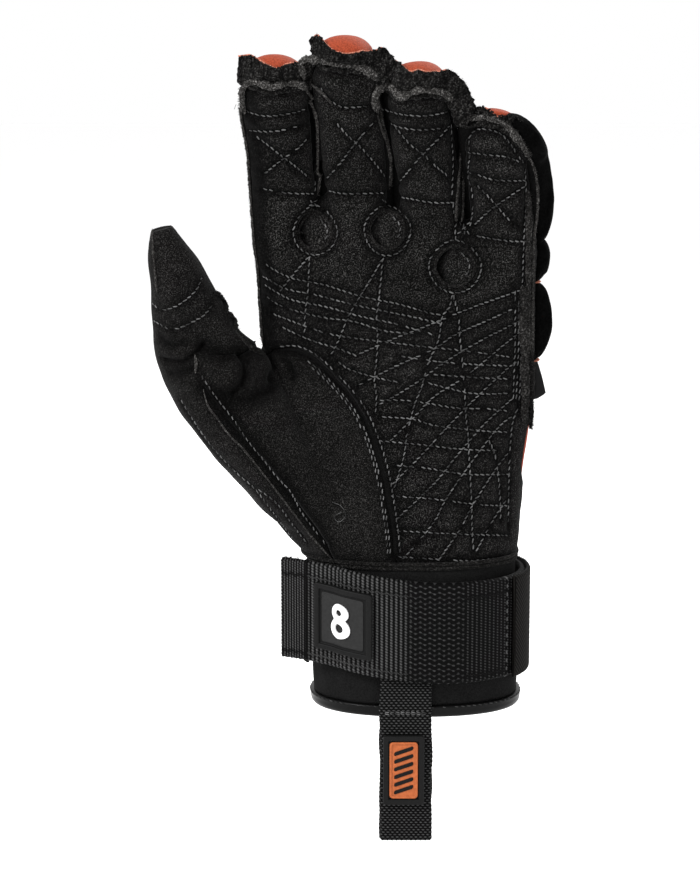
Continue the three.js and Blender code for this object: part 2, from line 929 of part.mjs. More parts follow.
// Strap: the path starts at the free end on the left, crosses the front, goes
// round the right side and the back, and ends under the free end.
const STRAP_PATH = strapCurve();
const STRAP_STEPS = 40;
const STRAP_LENGTH = STRAP_PATH.getLength();

function strapCurve() {
  const row = handRow(STRAP_MIDDLE);
  const centreX = (row.left + row.right) / 2;
  const points = [new THREE.Vector3(STRAP_END.x, STRAP_END.y, 0)];
  for (let angle = STRAP_FROM; angle <= STRAP_TO; angle += STRAP_TURN) {
    const c = Math.cos(degrees(angle));
    const s = Math.sin(degrees(angle));
    const outset = STRAP_SNUG + (STRAP_CLEARANCE - STRAP_SNUG) * Math.max(0, -s) ** 2;
    const x = (row.right - row.left) / 2 + outset;
    const y = (s < 0 ? -row.front : row.back) + outset;
    points.push(
      new THREE.Vector3(
        centreX + x * Math.sign(c) * Math.abs(c) ** (2 / ROUNDNESS),
        y * Math.sign(s) * Math.abs(s) ** (2 / ROUNDNESS),
        0,
      ),
    );
  }
  return new THREE.CatmullRomCurve3(points);
}

function strapPlace(share) {
  const point = STRAP_PATH.getPointAt(share);
  const along = STRAP_PATH.getTangentAt(share);
  return { point, normal: new THREE.Vector3(along.y, -along.x, 0) };
}

// Middle height of the strap: highest at the free end, lowest on the right.
function strapHeight(share) {
  return (
    STRAP_MIDDLE +
    STRAP_END_RISE * (1 - smooth(share, 0, 0.3)) +
    STRAP_BACK_RISE * smooth(share, 0.6, 1)
  );
}

function makeStrap() {
  const section = (thickness, height, lift) => (share) => {
    const z = strapHeight(share);
    return [
      [lift, z - height / 2],
      [lift + thickness, z - height / 2],
      [lift + thickness, z + height / 2],
      [lift, z + height / 2],
    ];
  };
  addNode(
    "wrist_strap",
    band(strapPlace, 0, 1, STRAP_STEPS, section(STRAP_THICKNESS, STRAP_HEIGHT, 0)),
    "webbing",
  );
  addNode(
    "strap_side_band",
    band(
      strapPlace, SIDE_BAND_FROM, SIDE_BAND_TO, 12,
      section(SIDE_BAND_THICKNESS, SIDE_BAND_HEIGHT, STRAP_THICKNESS + GAP),
    ),
    "webbing",
  );
}

// Puts a flat geometry on the strap: its x runs along the strap from a middle,
// its y up and its z out of the strap.
function onStrap(geometry, middleShare, lift) {
  const positions = geometry.getAttribute("position");
  for (let i = 0; i < positions.count; i++) {
    const share = middleShare + positions.getX(i) / STRAP_LENGTH;
    const { point, normal } = strapPlace(share);
    const out = lift + positions.getZ(i);
    positions.setXYZ(
      i,
      point.x + normal.x * out,
      point.y + normal.y * out,
      strapHeight(share) + positions.getY(i),
    );
  }
  return solid(geometry);
}

function makeSizePatch() {
  const middleShare = PATCH_PLACE / STRAP_LENGTH;
  const lift = STRAP_THICKNESS + GAP;
  const plate = (width, height, thickness, from) => {
    const box = new THREE.BoxGeometry(width, height, thickness, 5, 1, 1);
    box.translate(0, 0, from + thickness / 2);
    return onStrap(box, middleShare, lift);
  };
  const floor = PATCH_THICKNESS - PATCH_SUNK;
  const patch = plate(PATCH_WIDTH, PATCH_HEIGHT, PATCH_THICKNESS, 0).subtract(
    plate(
      PATCH_WIDTH - 2 * PATCH_RIM, PATCH_HEIGHT - 2 * PATCH_RIM,
      PATCH_THICKNESS, floor,
    ),
  );
  addNode("size_patch", patch, "rubber");

  const figure = new THREE.ExtrudeGeometry(figureEight(FIGURE_HEIGHT), {
    depth: FIGURE_RAISED,
    bevelEnabled: false,
    curveSegments: 6,
  });
  addNode("size_figure", onStrap(figure, middleShare, lift + floor + GAP), "white");
}

// The figure 8, two rings on each other.
function figureEight(height) {
  const stroke = height * 0.17;
  const low = height * 0.29;
  const high = height * 0.25;
  const shape = new THREE.Shape();
  const lowY = -height / 2 + low;
  const highY = height / 2 - high;
  const waist = Math.asin(0.62);
  shape.absarc(0, lowY, low, Math.PI - waist, waist, false);
  shape.absarc(0, highY, high, -waist, Math.PI + waist, false);
  shape.closePath();
  for (const [y, radius] of [
    [lowY, low - stroke],
    [highY, high - stroke],
  ]) {
    const hole = new THREE.Path();
    hole.absarc(0, y, radius, 0, 2 * Math.PI, true);
    shape.holes.push(hole);
  }
  return shape;
}

// Pull tab: one length of webbing, from under the strap down over the binding,
// folded at the bottom and back up to the rim.
const TAB_PATH = new THREE.CatmullRomCurve3(
  table(
    ["y", "z"],
    [
      [-28.1, 24], [-28.2, 12], [-29.3, 6], [-29.8, 1], [TAB_FRONT_Y, -12],
      [TAB_FRONT_Y, -30], [TAB_FRONT_Y, TAB_BOTTOM + TAB_FOLD],
      [TAB_FRONT_Y + 0.3, TAB_BOTTOM + TAB_FOLD / 2], [-28.8, TAB_BOTTOM + 1],
      [TAB_BACK_Y - 0.3, TAB_BOTTOM + TAB_FOLD / 2], [TAB_BACK_Y, TAB_BOTTOM + TAB_FOLD],
      [TAB_BACK_Y, -24], [TAB_BACK_Y, -1.6],
    ],
  ).map((p) => new THREE.Vector3(0, p.y, p.z)),
);

function makePullTab() {
  const rings = [];
  const steps = 30;
  for (let i = 0; i <= steps; i++) {
    const point = TAB_PATH.getPointAt(i / steps);
    const along = TAB_PATH.getTangentAt(i / steps);
    const out = new THREE.Vector3(0, along.z, -along.y);
    const corner = (x, side) =>
      point
        .clone()
        .addScaledVector(out, (side * TAB_THICKNESS) / 2)
        .setX(TAB_CENTRE_X + (x * TAB_WIDTH) / 2);
    rings.push([corner(-1, 1), corner(1, 1), corner(1, -1), corner(-1, -1)]);
  }
  addNode("pull_tab", solid(loft(rings)), "webbing");
}

// Label on the pull tab: a rubber frame with an orange plate in it
function makeTabLabel() {
  const front = TAB_FRONT_Y - TAB_THICKNESS / 2 - GAP;
  const block = (width, height, near, far) => {
    const box = new THREE.BoxGeometry(width, far - near, height);
    box.translate(LABEL_X, (near + far) / 2, LABEL_Z);
    return solid(box);
  };
  const insideWidth = LABEL_WIDTH - 2 * LABEL_RIM;
  const insideHeight = LABEL_HEIGHT - 2 * LABEL_RIM;
  const frame = block(
    LABEL_WIDTH, LABEL_HEIGHT, front - LABEL_THICKNESS, front,
  ).subtract(
    block(insideWidth, insideHeight, front - 2 * LABEL_THICKNESS, front - PLATE_BACK),
  );
  addNode("tab_label_frame", frame, "rubber");
  addNode(
    "tab_label_plate",
    block(
      insideWidth - 2 * GAP, insideHeight - 2 * GAP, front - PLATE_FRONT,
      front - PLATE_BACK - GAP,
    ),
    "label",
  );
}

makeCuff();
makePanels();
makeGussets();
makeKeyholes();
makeRawEdges();
makeFlaps();
makePads();
makeBar();
makeStrap();
makeSizePatch();
makePullTab();
makeTabLabel();

export default group;
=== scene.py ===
import math

import bpy
import numpy as np
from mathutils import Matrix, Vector
from mathutils.bvhtree import BVHTree
from mathutils.kdtree import KDTree


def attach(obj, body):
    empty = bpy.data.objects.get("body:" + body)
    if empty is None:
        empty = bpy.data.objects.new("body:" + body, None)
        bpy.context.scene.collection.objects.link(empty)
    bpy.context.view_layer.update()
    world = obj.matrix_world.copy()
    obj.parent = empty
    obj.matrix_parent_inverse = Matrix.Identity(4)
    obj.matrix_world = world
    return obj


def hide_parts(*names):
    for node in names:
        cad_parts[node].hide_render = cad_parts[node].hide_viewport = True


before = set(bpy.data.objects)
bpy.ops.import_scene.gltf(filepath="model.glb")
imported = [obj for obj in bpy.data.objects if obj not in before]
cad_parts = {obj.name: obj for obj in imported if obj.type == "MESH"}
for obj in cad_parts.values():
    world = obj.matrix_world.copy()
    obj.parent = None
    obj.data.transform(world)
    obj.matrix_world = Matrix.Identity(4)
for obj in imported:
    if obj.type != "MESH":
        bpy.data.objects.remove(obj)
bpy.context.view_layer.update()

# Lengths here are in millimetres, with the cuff's rim at RIM, until a piece is made.
MM = 0.001
RIM = -1.5
SEED = 7
FINE = "_fine"
rng = np.random.default_rng(SEED)

# The photograph's view: 700 by 875 pixels, level with the palm and a little from above
IMAGE_WIDTH = 700
IMAGE_HEIGHT = 875
ELEVATION = math.radians(10)
CAMERA_DISTANCE = 900
MM_PER_PIXEL = 0.37
TARGET = np.array([-24.4, 0.0, 97.9])
FOCAL_PIXELS = CAMERA_DISTANCE / MM_PER_PIXEL
FORWARD = np.array([0, math.cos(ELEVATION), -math.sin(ELEVATION)])
UPWARD = np.array([0, math.sin(ELEVATION), math.cos(ELEVATION)])
RIGHTWARD = np.array([1.0, 0, 0])
EYE = TARGET - CAMERA_DISTANCE * FORWARD
SENSOR = 36

# The glove's own directions: to its back, and up
BACKWARD = np.array([0, 1.0, 0])
SKYWARD = np.array([0, 0, 1.0])

# Floor and lights, in metres: each light's name, place, size and power
FLOOR_SIZE = 6.0
FLOOR_HEIGHT = -0.062
FLOOR_TONE = 0.995
LIGHTS = [
    ("key", (-0.85, -0.75, 0.95), 0.35, 18), ("fill", (1.0, -0.9, 0.5), 0.6, 2),
    ("rim", (0.5, 0.8, 1.0), 0.6, 12),
]
LIGHTS_AIM = (-0.02, 0, 0.1)

# Lines through pixels: points between two given ones, the step between sight lines, the
# steps along edges, and the depths to look for the surface at beside the outline
CURVE_STEPS = 24
PIXEL_STEP = 1.5
EDGE_STEP = 0.6
NEAR_DEPTHS = (-34, 12, 24)

# Thickness of the cloth, fineness of the skin over the forms and rounds of smoothing it,
# squareness of the sections, and the height where the sleeve ends
WALL = 1.9
VOXEL = 0.86
BASE_ROUNDS = 8
ROUNDNESS = 2.3
CUFF_TOP = 54

# Sections along each form and points round each section
HAND_MESH = (130, 96)
THUMB_MESH = (90, 48)
FINGER_MESH = (60, 44)
CUFF_MESH = (44, 160)

# Sections of the hand: height, left, right, front, back, and the drop to the right
HAND = [
    (RIM, -38, 38.4, -26.5, 26.5, 0),
    (30, -39, 38, -27, 26.5, 0),
    (54, -40, 37.2, -26.5, 24, 0),
    (61, -47, 37.6, -25.5, 22.5, 0),
    (72, -55, 38.4, -24, 20.5, 0),
    (90, -61, 39.8, -22, 19.5, 0),
    (112, -61.5, 42.6, -20.5, 19, 0),
    (129, -57.2, 43.2, -19.5, 18.5, 0),
    (148, -57.4, 43.2, -18.5, 17.5, -0.05),
    (173, -59.4, 43.4, -16, 15.5, -0.12),
    (183.5, -59.8, 43, -11, 10.5, -0.17),
]

# Sections of the thumb: centre, lean to the left in degrees, half width, half depth
THUMB = [
    (-22, -4, 66, 50, 15, 16),
    (-45, -9, 84, 45, 15.6, 17.6),
    (-59.8, -12, 104, 40, 17.2, 16.6),
    (-71.8, -14, 122, 33, 18.6, 15),
    (-79.8, -15, 136, 18, 15.6, 13.5),
    (-83.2, -16, 148, 12, 12.6, 12),
    (-86.4, -17, 159, 12, 9.9, 10.5),
    (-90, -18, 170, 14, 7, 8),
    (-91.6, -18.5, 177.4, 14, 4.2, 4.8),
]

# Fingers: root x and z, length, curl in degrees, drift of the tip to the right,
# half widths and half depths at root and tip, and how far back from the tip the
# front panel ends
FINGERS = {
    "index": (-47.6, 150, 90, 35, -3.6, 12.2, 12, 12.5, 10.4, 4.6),
    "middle": (-22, 150, 96.5, 34, -4.6, 11.6, 12, 13, 10.8, 4.6),
    "ring": (4.6, 150, 87.5, 35, -5.4, 11.4, 11.8, 12.5, 10.4, 4.6),
    "little": (31, 142, 79, 33, -4.6, 11.8, 11.6, 12, 9.8, 0.8),
}
NAMES = list(FINGERS)
ROOT_Y = -1
ROOT_SHARE = 0.76
CURL_POWER = 1.2
DRIFT_RANGE = (0.35, 1)
ROOT_RANGE = (0, 0.3)
TIP_ROUNDING = 12
TIP_SECTIONS = 13
TIP_OPEN = 0.06

# Seams seen from the front, as x and z, and their depths along x
PALM_SEAM = [
    (-55.6, 131.4), (-49.8, 133.2), (-44.3, 133.6), (-38.9, 131.4), (-34.2, 127.7),
    (-29.8, 123.3), (-25.5, 118.5), (-22.2, 114.5), (-19, 108.9), (-16.4, 103.1),
    (-14.3, 96.8), (-12.1, 89.1), (-10.6, 81.3), (-9.5, 74.4), (-8.5, 66.3),
    (-7.7, 57.8), (-7.4, 40),
]
THUMB_SEAM = [
    (-58, 134), (-79.6, 132.2), (-78.6, 124.6), (-66.6, 107.5),
    (-52.6, 90.9), (-42.9, 77.3), (-33.1, 62.5), (-24, 40),
]
FAR_LEFT = [(-64, 143), (-66, 200), (-140, 200), (-140, 40)]
CROTCH = (-55.6, 131.4)
THUMB_FOOT = (-34, 40)
PALM_EDGE = -3
BACK_EDGE = 4
SIDE_FROM = (-50, 36)
SIDE_SEAM = [(40, 1.5), (79, 1.5), (86, -5), (101, -5), (108, 1.5), (200, 1.5)]
THUMB_SPLIT = [
    (-140, -19), (-97, -18.5), (-84, -16), (-68, -12), (-44, -6), (-30, -3), (0, -3),
]

# The panels, and the material of those that aren't of plain side cloth
REGIONS = [
    "palm_panel", "thenar_panel", "thumb_panel", "thumb_back_panel", "back_panel",
    "index_outer_gusset", "index_middle_gusset", "middle_ring_gusset",
    "ring_little_gusset", "little_outer_gusset", "sleeve",
]
PALM, THENAR, THUMB_FRONT, THUMB_BACK, BACK, FIRST_WALL, SLEEVE = 0, 1, 2, 3, 4, 5, 10
HOLE = 11
PANEL_MATERIALS = {
    PALM: "suede", THENAR: "soft_suede", THUMB_FRONT: "soft_suede", THUMB_BACK: "thumb_back",
    BACK: "orange",
}
PANEL_GAP = 0.3

# Heights where the hand's seams pass into the fingers', and the seams' depths in a finger
# as shares of its half depth: in front, behind, between two fingers, and on the tip's dome
WEB = (164, 184)
FRONT_SEAM = 0.35
BACK_SEAM = 0.3
MEETING_SEAM = 0.62
DOME_SEAM = (-0.75, -0.85, -0.75, -0.05)
SIDE_DOME = 0.15
DOME_HALF = (8, 10.5)
DOME_RANGE = (11, 1)

# How much more a distance past a finger's tip counts; and the upward faces between the
# finger roots that belong to the walls: their least tilt, highest height and depth
PAST_TIP = 3
SADDLE_TILT = 0.5
SADDLE_TOP = 200
SADDLE_FRONT = 2

# Rounds in which each face sides with most of its neighbours, and the weight of its own vote
VOTES = 6
OWN_VOTE = 1.5

# Smoothing of a panel's edge, and of what lies within a distance of it
EDGE_ROUNDS = 14
BESIDE_EDGE = 6
BESIDE_EDGE_ROUNDS = 3

# Where the seam between the thumb's panels hides in the folds, as z and as x
SOFT_SEAM_FROM = (120, 128)
SOFT_SEAM_TO = (-66, -60)

# Keyholes in the palm: name, x and z; their radius, how far the inserts reach under the
# palm, the depth behind which nothing belongs to them, the thickness of the inserts, and
# how much smaller than the stitched ring the welt and the inner row are
KEYHOLES = [
    ("index_middle", -36.2, 175.6), ("middle_ring", -10.4, 176.2),
    ("ring_little", 13.6, 162.6),
]
KEYHOLE_RADIUS = 7.0
KEYHOLE_UNDER = 0.9
KEYHOLE_BACK = -8
KEYHOLE_WALL = 1.2
WELT_SHRINK = 0.24
ARC_SHRINK = 0.44

# Depths and widths of the grooves along panel edges, quilting, main seam and soft rows,
# the rise of the cushions between them, how far the painted shade reaches from each,
# and how dark that shade is at its darkest
EDGE_GROOVE = (0.7, 0.9)
QUILT_GROOVE = (0.55, 0.8)
SEAM_GROOVE = (1.1, 2.0)
ROW_GROOVE = (0.5, 0.8)
CUSHION = 0.7
CUSHION_WIDTH = 3.2
EDGE_SHADE_WIDTH = 3.5
QUILT_SHADE_WIDTH = 2.0
SEAM_SHADE_WIDTH = 2.6
ROW_SHADE_WIDTH = 2.4
DEEPEST_SHADE = 0.12

# Walls between fingers: where their swelling begins, as distances from the edge and as
# heights, how far they move at most, and how near the middle they end
GAP_EDGE = (0.3, 3)
GAP_HEIGHTS = (172, 182)
GAP_REACH = 5.5
TOUCH = -0.12

# Side pads: name, lowest and highest height and how far they swell; points of their grids
# up and round, their turns in degrees from the right side to the back, how proud the rim
# stands, and how full they are across
PADS = [("side_pad_lower", 127.8, 155.6, 6.8), ("side_pad_middle", 156.4, 172.6, 5.6)]
PAD_MESH = (40, 56)
PAD_TURNS = (-12, 62)
PAD_EDGE = 0.8
PAD_FULLNESS = 0.35
PAD_WALL = 0.5

# The cloth simulation that blows up a pad's cover
PUFF_SCALE = 0.01
PUFF_PRESSURE = 2.0
PUFF_SLACK = 0.05
PUFF_LIMIT = 1.6
PUFF_FRAMES = 20

# The upper pad: distances along the little finger with half widths, the distances where
# it narrows, and its turns in degrees at the front and at the back before and after that
UPPER_PAD = [
    (28.4, 12.2), (30.2, 15.6), (35, 18.2), (44, 19.3), (52, 19.3), (59, 18.8),
    (64, 17.8), (68.2, 16.3), (72, 14.5), (75.2, 12.4), (77.6, 9.2), (78.6, 5),
]
UPPER_PAD_END = (58, 75)
UPPER_PAD_FRONT = (-14, -46)
UPPER_PAD_BACK = (80, 34)

# The orange edges between the pads, and the bar: heights and how proud
PAD_SEAMS = [(156, 0.9), (127.2, 0.9)]
BAR = [(112.6, 2.4), (114.6, 5.4), (121, 3.6), (127, 1.6)]
BAR_MESH = (20, 150)
BAR_TURNS = (-4, 122)
BAR_RIB = 0.42
BAR_END = 0.4

# Flex folds over the knuckles of the back, as shares of a finger, their pitch and rise;
# rise of the domed tips, and half the width of back that belongs to a finger
KNUCKLES = (0.42, 0.74)
KNUCKLE_PITCH = 4.0
KNUCKLE_RISE = 1.3
DOME_RISE = (1.7, 1.7, 1.7, 0.8)
FINGER_HALF = 14

# Step between the points of a band's line, and points across its plain inner face
PATH_STEP = 0.2
BAND_BACK = 6

# Wrist strap of 38 mm webbing: its size, how far it stands off the hand in front and
# elsewhere, its free end, and the turns in degrees of the points round the hand
STRAP_HEIGHT = 37.6
STRAP_THICKNESS = 2.2
STRAP_CLEARANCE = 3.4
STRAP_SNUG = 0.9
STRAP_END = (-49, -13.6)
STRAP_FROM = 226
STRAP_TO = 548
STRAP_TURN = 14
STRAP_MIDDLE = 31
STRAP_END_RISE = 6
STRAP_BACK_RISE = 1.2
ON_STRAP = STRAP_THICKNESS + 0.3

# Its second layer and stitches at the right side, as shares of its length, its painted
# shade darker towards the right, its ribs and beads, its free end with finer ribs, the sewn
# rows along its edges, the frayed corner, and where the mesh over the hooks starts and ends
SIDE_BAND = (0.403, 0.56)
SIDE_BAND_HEIGHT = 38.4
SIDE_STITCHES = 0.392
STRAP_RIGHT_SHADE = 0.64
STRAP_SHADE_RANGE = (28, 80)
RIB_PITCH = 1.7
BEAD_PITCH = 1.06
FREE_END = 10.4
FINE_RIBS = (1.05, 0.95)
FINE_STEP = 0.24
STRAP_ROWS = (STRAP_HEIGHT / 2 - 5.6, -STRAP_HEIGHT / 2 + 3.0)
STRAP_FRAY = (1, 7)
STRAP_HAIRS = 90
HOOKS_START = (47, 52)
HOOKS_END = (67, 72)

# Pull tab of 19 mm webbing: its size, its place, its weave, the heights of its stitch
# rows, and its line in y and z from under the strap to the fold and back up
TAB_WIDTH = 19
TAB_THICKNESS = 1.6
TAB_CENTRE_X = -4
TAB_BOTTOM = -48
TAB_FRONT_Y = -30.2
TAB_BACK_Y = -27.4
TAB_RIB = 0.94
TAB_BEAD = 1.74
TAB_STITCH_ROWS = (22.6, 23.3)
TAB_POINTS = [
    (-28.1, 24), (-28.2, 12), (-29.3, 6), (-29.8, 1), (TAB_FRONT_Y, -12), (TAB_FRONT_Y, -30),
    (TAB_FRONT_Y, TAB_BOTTOM + 2.6), (TAB_FRONT_Y + 0.3, TAB_BOTTOM + 1.3),
    (-28.8, TAB_BOTTOM + 1), (TAB_BACK_Y - 0.3, TAB_BOTTOM + 1.3),
    (TAB_BACK_Y, TAB_BOTTOM + 2.6), (TAB_BACK_Y, -24), (TAB_BACK_Y, -1.6),
]

# Size patch on the strap, with its rim, its sunken face and its figure
PATCH_PLACE = 25.6
PATCH_WIDTH = 22.5
PATCH_HEIGHT = 24.5
PATCH_THICKNESS = 2
PATCH_RIM = 2
PATCH_SUNK = 0.9
PATCH_CORNER = 0.9
PATCH_SHARES = (0, 0.4, 0.8, 1)
FIGURE_HEIGHT = 12.6
FIGURE_EXTRUDE = 0.28
FIGURE_BEVEL = 0.14
FIGURE_LIFT = 0.43
SHARPEST_CORNER = 0.05

# Label on the tab: its frame, the profile of its plate as insets and heights, and ridges
LABEL_WIDTH = 15
LABEL_HEIGHT = 26
LABEL_THICKNESS = 1.9
LABEL_RIM = 2
LABEL_FLOOR = 0.8
LABEL_X = -4.8
LABEL_Z = -19.8
LABEL_FRONT = TAB_FRONT_Y - TAB_THICKNESS / 2 - 0.3
PLATE_PROFILE = [(0, 0.9), (0, 1.45), (0.15, 1.65), (0.55, 1.7), (0.85, 1.6), (0.95, 1.3)]
RIDGES = 6
RIDGE_SLANT = 0.35
RIDGE_PROFILE = [(0.1, 1.25), (0, 1.45), (0.12, 1.58), (0.3, 1.62)]

# Hem of the palm: heights and how proud the rolls stand
HEM = [(55.8, 0.5), (54.2, 0.3)]

# Binding, with its stitches, and the points round it and the hem
BINDING_HEIGHT = 4.4
BINDING_PROUD = 1.1
BINDING_PITCH = 2.3
BINDING_STITCH = 1.5
ROUND_STEPS = 260

# Flaps on the finger tips: points of their grids up and across, how far they stand before
# the tip, turn back at their sides and stand off the cloth, unevenness of the upper line,
# thickness, drop of the lower line in pixels, depth of the folds and their waves (size,
# pitch and slant), roughness and number of hairs
FLAP_MESH = (14, 64)
FLAP_FORWARD = 3
FLAP_TURN = 4
FLAP_OFF = 1.1
FLAP_RAGGED = 0.22
FLAP_WALL = 1.1
FLAP_BEHIND = 6
FLAP_CRUMPLE = 1.4
FLAP_FOLDS = ((1, 0.62, 2.4), (0.6, 1.13, -3))
FLAP_ROUGH = 0.16
FLAP_HAIRS = 150

# Rows of stitches inside the edge of the orange back: how far in, and their lowest and
# highest height and foremost place; a line ends at a jump, leaves out points nearer than
# CLEAR, and has more points than the shortest
BACK_ROWS = (2.2, 4.4)
BACK_ROW_RANGE = (58, 168, 1)
JUMP = 3
CLEAR = 0.55
SHORTEST_LINE = 12

# Stitches: pitch and size, how much both vary, slant and wander of their direction, how
# far they stand out, the share that is missing, and their sections along X (place, radius
# and lift)
STITCH_PITCH = 2.45
STITCH_LENGTH = 1.8
STITCH_RADIUS = 0.235
STITCH_LENGTHS = (0.88, 1.1)
STITCH_WIDTHS = (0.85, 1.15)
STITCH_SLANT = 0.24
STITCH_WANDER = 0.07
STITCH_LIFT = 0.35
STITCHES_MISSING = 0.06
STITCH_SECTIONS = [
    (-0.46, 0.55, -0.5), (-0.25, 0.95, 0.25), (0.25, 0.95, 0.25), (0.46, 0.55, -0.5),
]

# One hair, one long and lying along X; raw edges with their hairs
HAIR_VERTS = np.array([
    (0, 0.5, 0), (0, -0.25, 0.43), (0, -0.25, -0.43), (1, 0.12, 0), (1, -0.06, 0.1),
    (1, -0.06, -0.1),
])
HAIR_FACES = [(0, 1, 2), (3, 5, 4), (0, 3, 4, 1), (1, 4, 5, 2), (2, 5, 3, 0)]
HAIR_SPREAD = 0.6
RAW_SIDES = 12
RAW_ROUGH = 0.14
RAW_HAIR = 0.13

# Rows of stitches on the palm, as pixels of the photograph
PALM_ROWS = [
    [(309.7, 255), (308.7, 275), (307.6, 296), (305.4, 312), (304.4, 340)],
    [(309.7, 256), (299, 268), (288, 281), (279.6, 292)],
    [(383, 257), (381, 279), (378.7, 301), (376.6, 318), (377.6, 338), (376.6, 359),
     (374.4, 381), (376.6, 396), (375.5, 413)],
    [(383, 258), (372, 277), (361.5, 294), (350.7, 312), (344, 327), (337.8, 342),
     (331, 355)],
    [(452, 294), (449.8, 307), (442.3, 316), (440, 333), (437, 344), (430, 359),
     (426, 370), (421.8, 387), (415, 403), (411, 418), (406.7, 435), (404.6, 453),
     (400, 470), (394, 489)],
    [(453, 294), (458.4, 316), (459.5, 333), (461.7, 355), (463.8, 379), (465, 400),
     (466, 418), (468, 435), (469, 457), (471, 490), (472, 528), (473.5, 550)],
    [(485.4, 435), (495, 455), (499.4, 490), (500.5, 520)],
    [(265.6, 264), (273, 269), (284, 275), (295, 279), (322.7, 284.5), (337.8, 289),
     (363.6, 297), (398, 304), (428, 312.7), (441, 314.8)],
    [(262.3, 276), (273, 282), (286, 289), (316, 295), (350.7, 304), (381, 310.5),
     (413, 317), (441, 323.5)],
    [(264.5, 284.5), (279.6, 294), (294.7, 300.7), (327, 307), (359, 316), (394, 323.5),
     (432.6, 334.4)],
    [(266.6, 296.4), (283.9, 307), (320.5, 317), (352.8, 321.3), (385, 331),
     (415, 333.3)],
    [(273, 313.8), (301, 324.6), (327, 333.3), (350.7, 337.6), (394, 343), (430, 347.4),
     (462.8, 350.6), (510, 357)],
    [(281.7, 326.8), (309.7, 339.8), (337.8, 348.5), (357, 356)],
    [(337.8, 361.5), (350.7, 370), (381, 378.8), (398, 382)],
    [(400, 356), (437, 361.5), (477.8, 364.7), (508, 365.8)],
    [(432.6, 374.5), (477.8, 377.7), (508, 378.8)],
    [(428, 383), (462.8, 391.8), (484, 394), (508, 393)],
    [(378.7, 400.5), (409, 400.6), (456, 408), (482, 408.5), (508, 411)],
    [(381, 416.8), (413, 419), (434.7, 425.5), (484, 431), (508, 432)],
    [(378.7, 440.7), (424, 445), (462.8, 449.3), (497, 450.4)],
    [(396, 465.6), (424, 467.8), (467, 474.3), (510, 474.3)],
    [(389.5, 496), (434.7, 499.2), (477.8, 504.6), (508, 505.7)],
    [(396, 530.7), (456, 534), (508, 535.4)],
    [(398, 556.7), (456, 560.6), (477.8, 560.6), (508, 556.7)],
    [(359, 354), (394, 338.7), (432.6, 323.5), (467, 309.4), (506, 295.3), (521, 290)],
    [(359, 385), (394, 367), (434.7, 348.5), (454, 335.4), (493, 318), (521, 305)],
    [(378.7, 405), (413, 385), (445.5, 361.5), (480, 341), (510, 325.7), (521, 320)],
    [(389.5, 441.7), (417.5, 413.5), (434.7, 396), (465, 376.7), (499.4, 348.5),
     (521, 331)],
    [(391.6, 485), (419.7, 457), (447.7, 426.6), (477.8, 396), (508, 368),
     (516.6, 361.5)],
    [(396, 520), (434.7, 483), (454, 459), (484, 424.4), (512.3, 398.4)],
    [(402.4, 560), (432.6, 524), (445.5, 500), (469, 465.6), (497, 428.7), (512, 416)],
    [(438, 561), (460.6, 528.5), (471.4, 507), (495, 470), (508, 452.6)],
    [(475.7, 552), (493, 520), (506, 500)],
    [(246, 110.5), (258, 115), (272, 116), (294, 112.6), (305, 108.8)],
    [(249, 130.5), (264, 131.5), (278, 131), (303, 125)],
    [(255.7, 136), (268, 145), (280.3, 155), (293.7, 165), (307, 176)],
    [(264.6, 174), (273.6, 166.2), (287, 156), (298, 148.3), (307, 138.3)],
    [(262.4, 188.5), (287, 193), (314, 193.7)],
    [(312.6, 127), (314, 160), (315, 192)],
    [(320.4, 87), (327, 97), (336, 104.4), (345, 107.7), (367.3, 106)],
    [(336, 122.7), (348.3, 136), (362.9, 149.5), (376.3, 165), (385, 177)],
    [(327, 178.5), (340.5, 162.9), (354, 145), (365, 131.6), (373, 122.7)],
    [(320.4, 187.4), (329.4, 190.8), (345, 193.7), (384, 193)],
    [(376, 108), (385, 109.3), (398.6, 113.8), (420.9, 116), (438.8, 113.8),
     (451, 110.4)],
    [(389.6, 122.7), (398.6, 127), (412, 129.4), (425.4, 129.8), (441, 128.3)],
    [(394, 125), (409.7, 143.9), (423, 154), (434.3, 165), (447.7, 176)],
    [(396.3, 186.3), (409.7, 169.6), (423, 154), (438.8, 138.3), (450, 125)],
    [(394, 196.3), (409.7, 198.6), (432, 202.6), (455, 202.6)],
    [(451, 114), (451, 132), (453, 163), (452, 194), (455, 221)],
    [(470, 152), (469, 140), (472, 131), (479, 129), (492.3, 130.5), (503.5, 136),
     (512.4, 147), (518, 156), (524, 163)],
    [(463, 153.5), (472, 152.8), (487.9, 155), (505.7, 156.6), (519, 161.7)],
    [(463, 175), (472, 173), (492, 179.6), (510, 180.7), (526, 180.7)],
    [(476.7, 185), (487.9, 196), (496.8, 206), (508, 218.7), (519, 227.6)],
    [(474.5, 225), (485.6, 214), (496.8, 205), (510, 196), (525, 186)],
    [(476.7, 236), (487.9, 238), (508, 241), (528, 241.4)],
    [(470, 154), (468, 176), (472, 189.6), (473, 209.7), (470, 227)],
    [(312, 198), (314, 206)],
    [(386, 196), (387, 206)],
    [(458, 221), (464, 228), (470, 235)],
    [(471, 221), (464, 228), (457, 235)],
    [(463, 222), (465, 236)],
    [(309, 200), (318, 207)],
    [(318, 199), (308, 207)],
    [(381, 199), (391, 206)],
    [(456, 222), (455, 232), (456, 241)],
]

# Width of the dark side of the index finger and the palm, and the heights where the
# palm's left side passes into the finger's
LEFT_SIDE = (4.5, 8)
LEFT_BLEND = (150, 175)

# Rows beside the fingers' edges and down the little-finger side
FINGER_EDGES = [
    [(525, 168), (526, 200), (524, 235), (522, 290)],
    [(522, 290), (521, 340), (519, 400), (512, 425), (509, 470), (508, 530)],
    [(515, 290), (515, 340), (513, 400)],
    [(518.5, 300), (518.5, 345), (516, 400)],
]

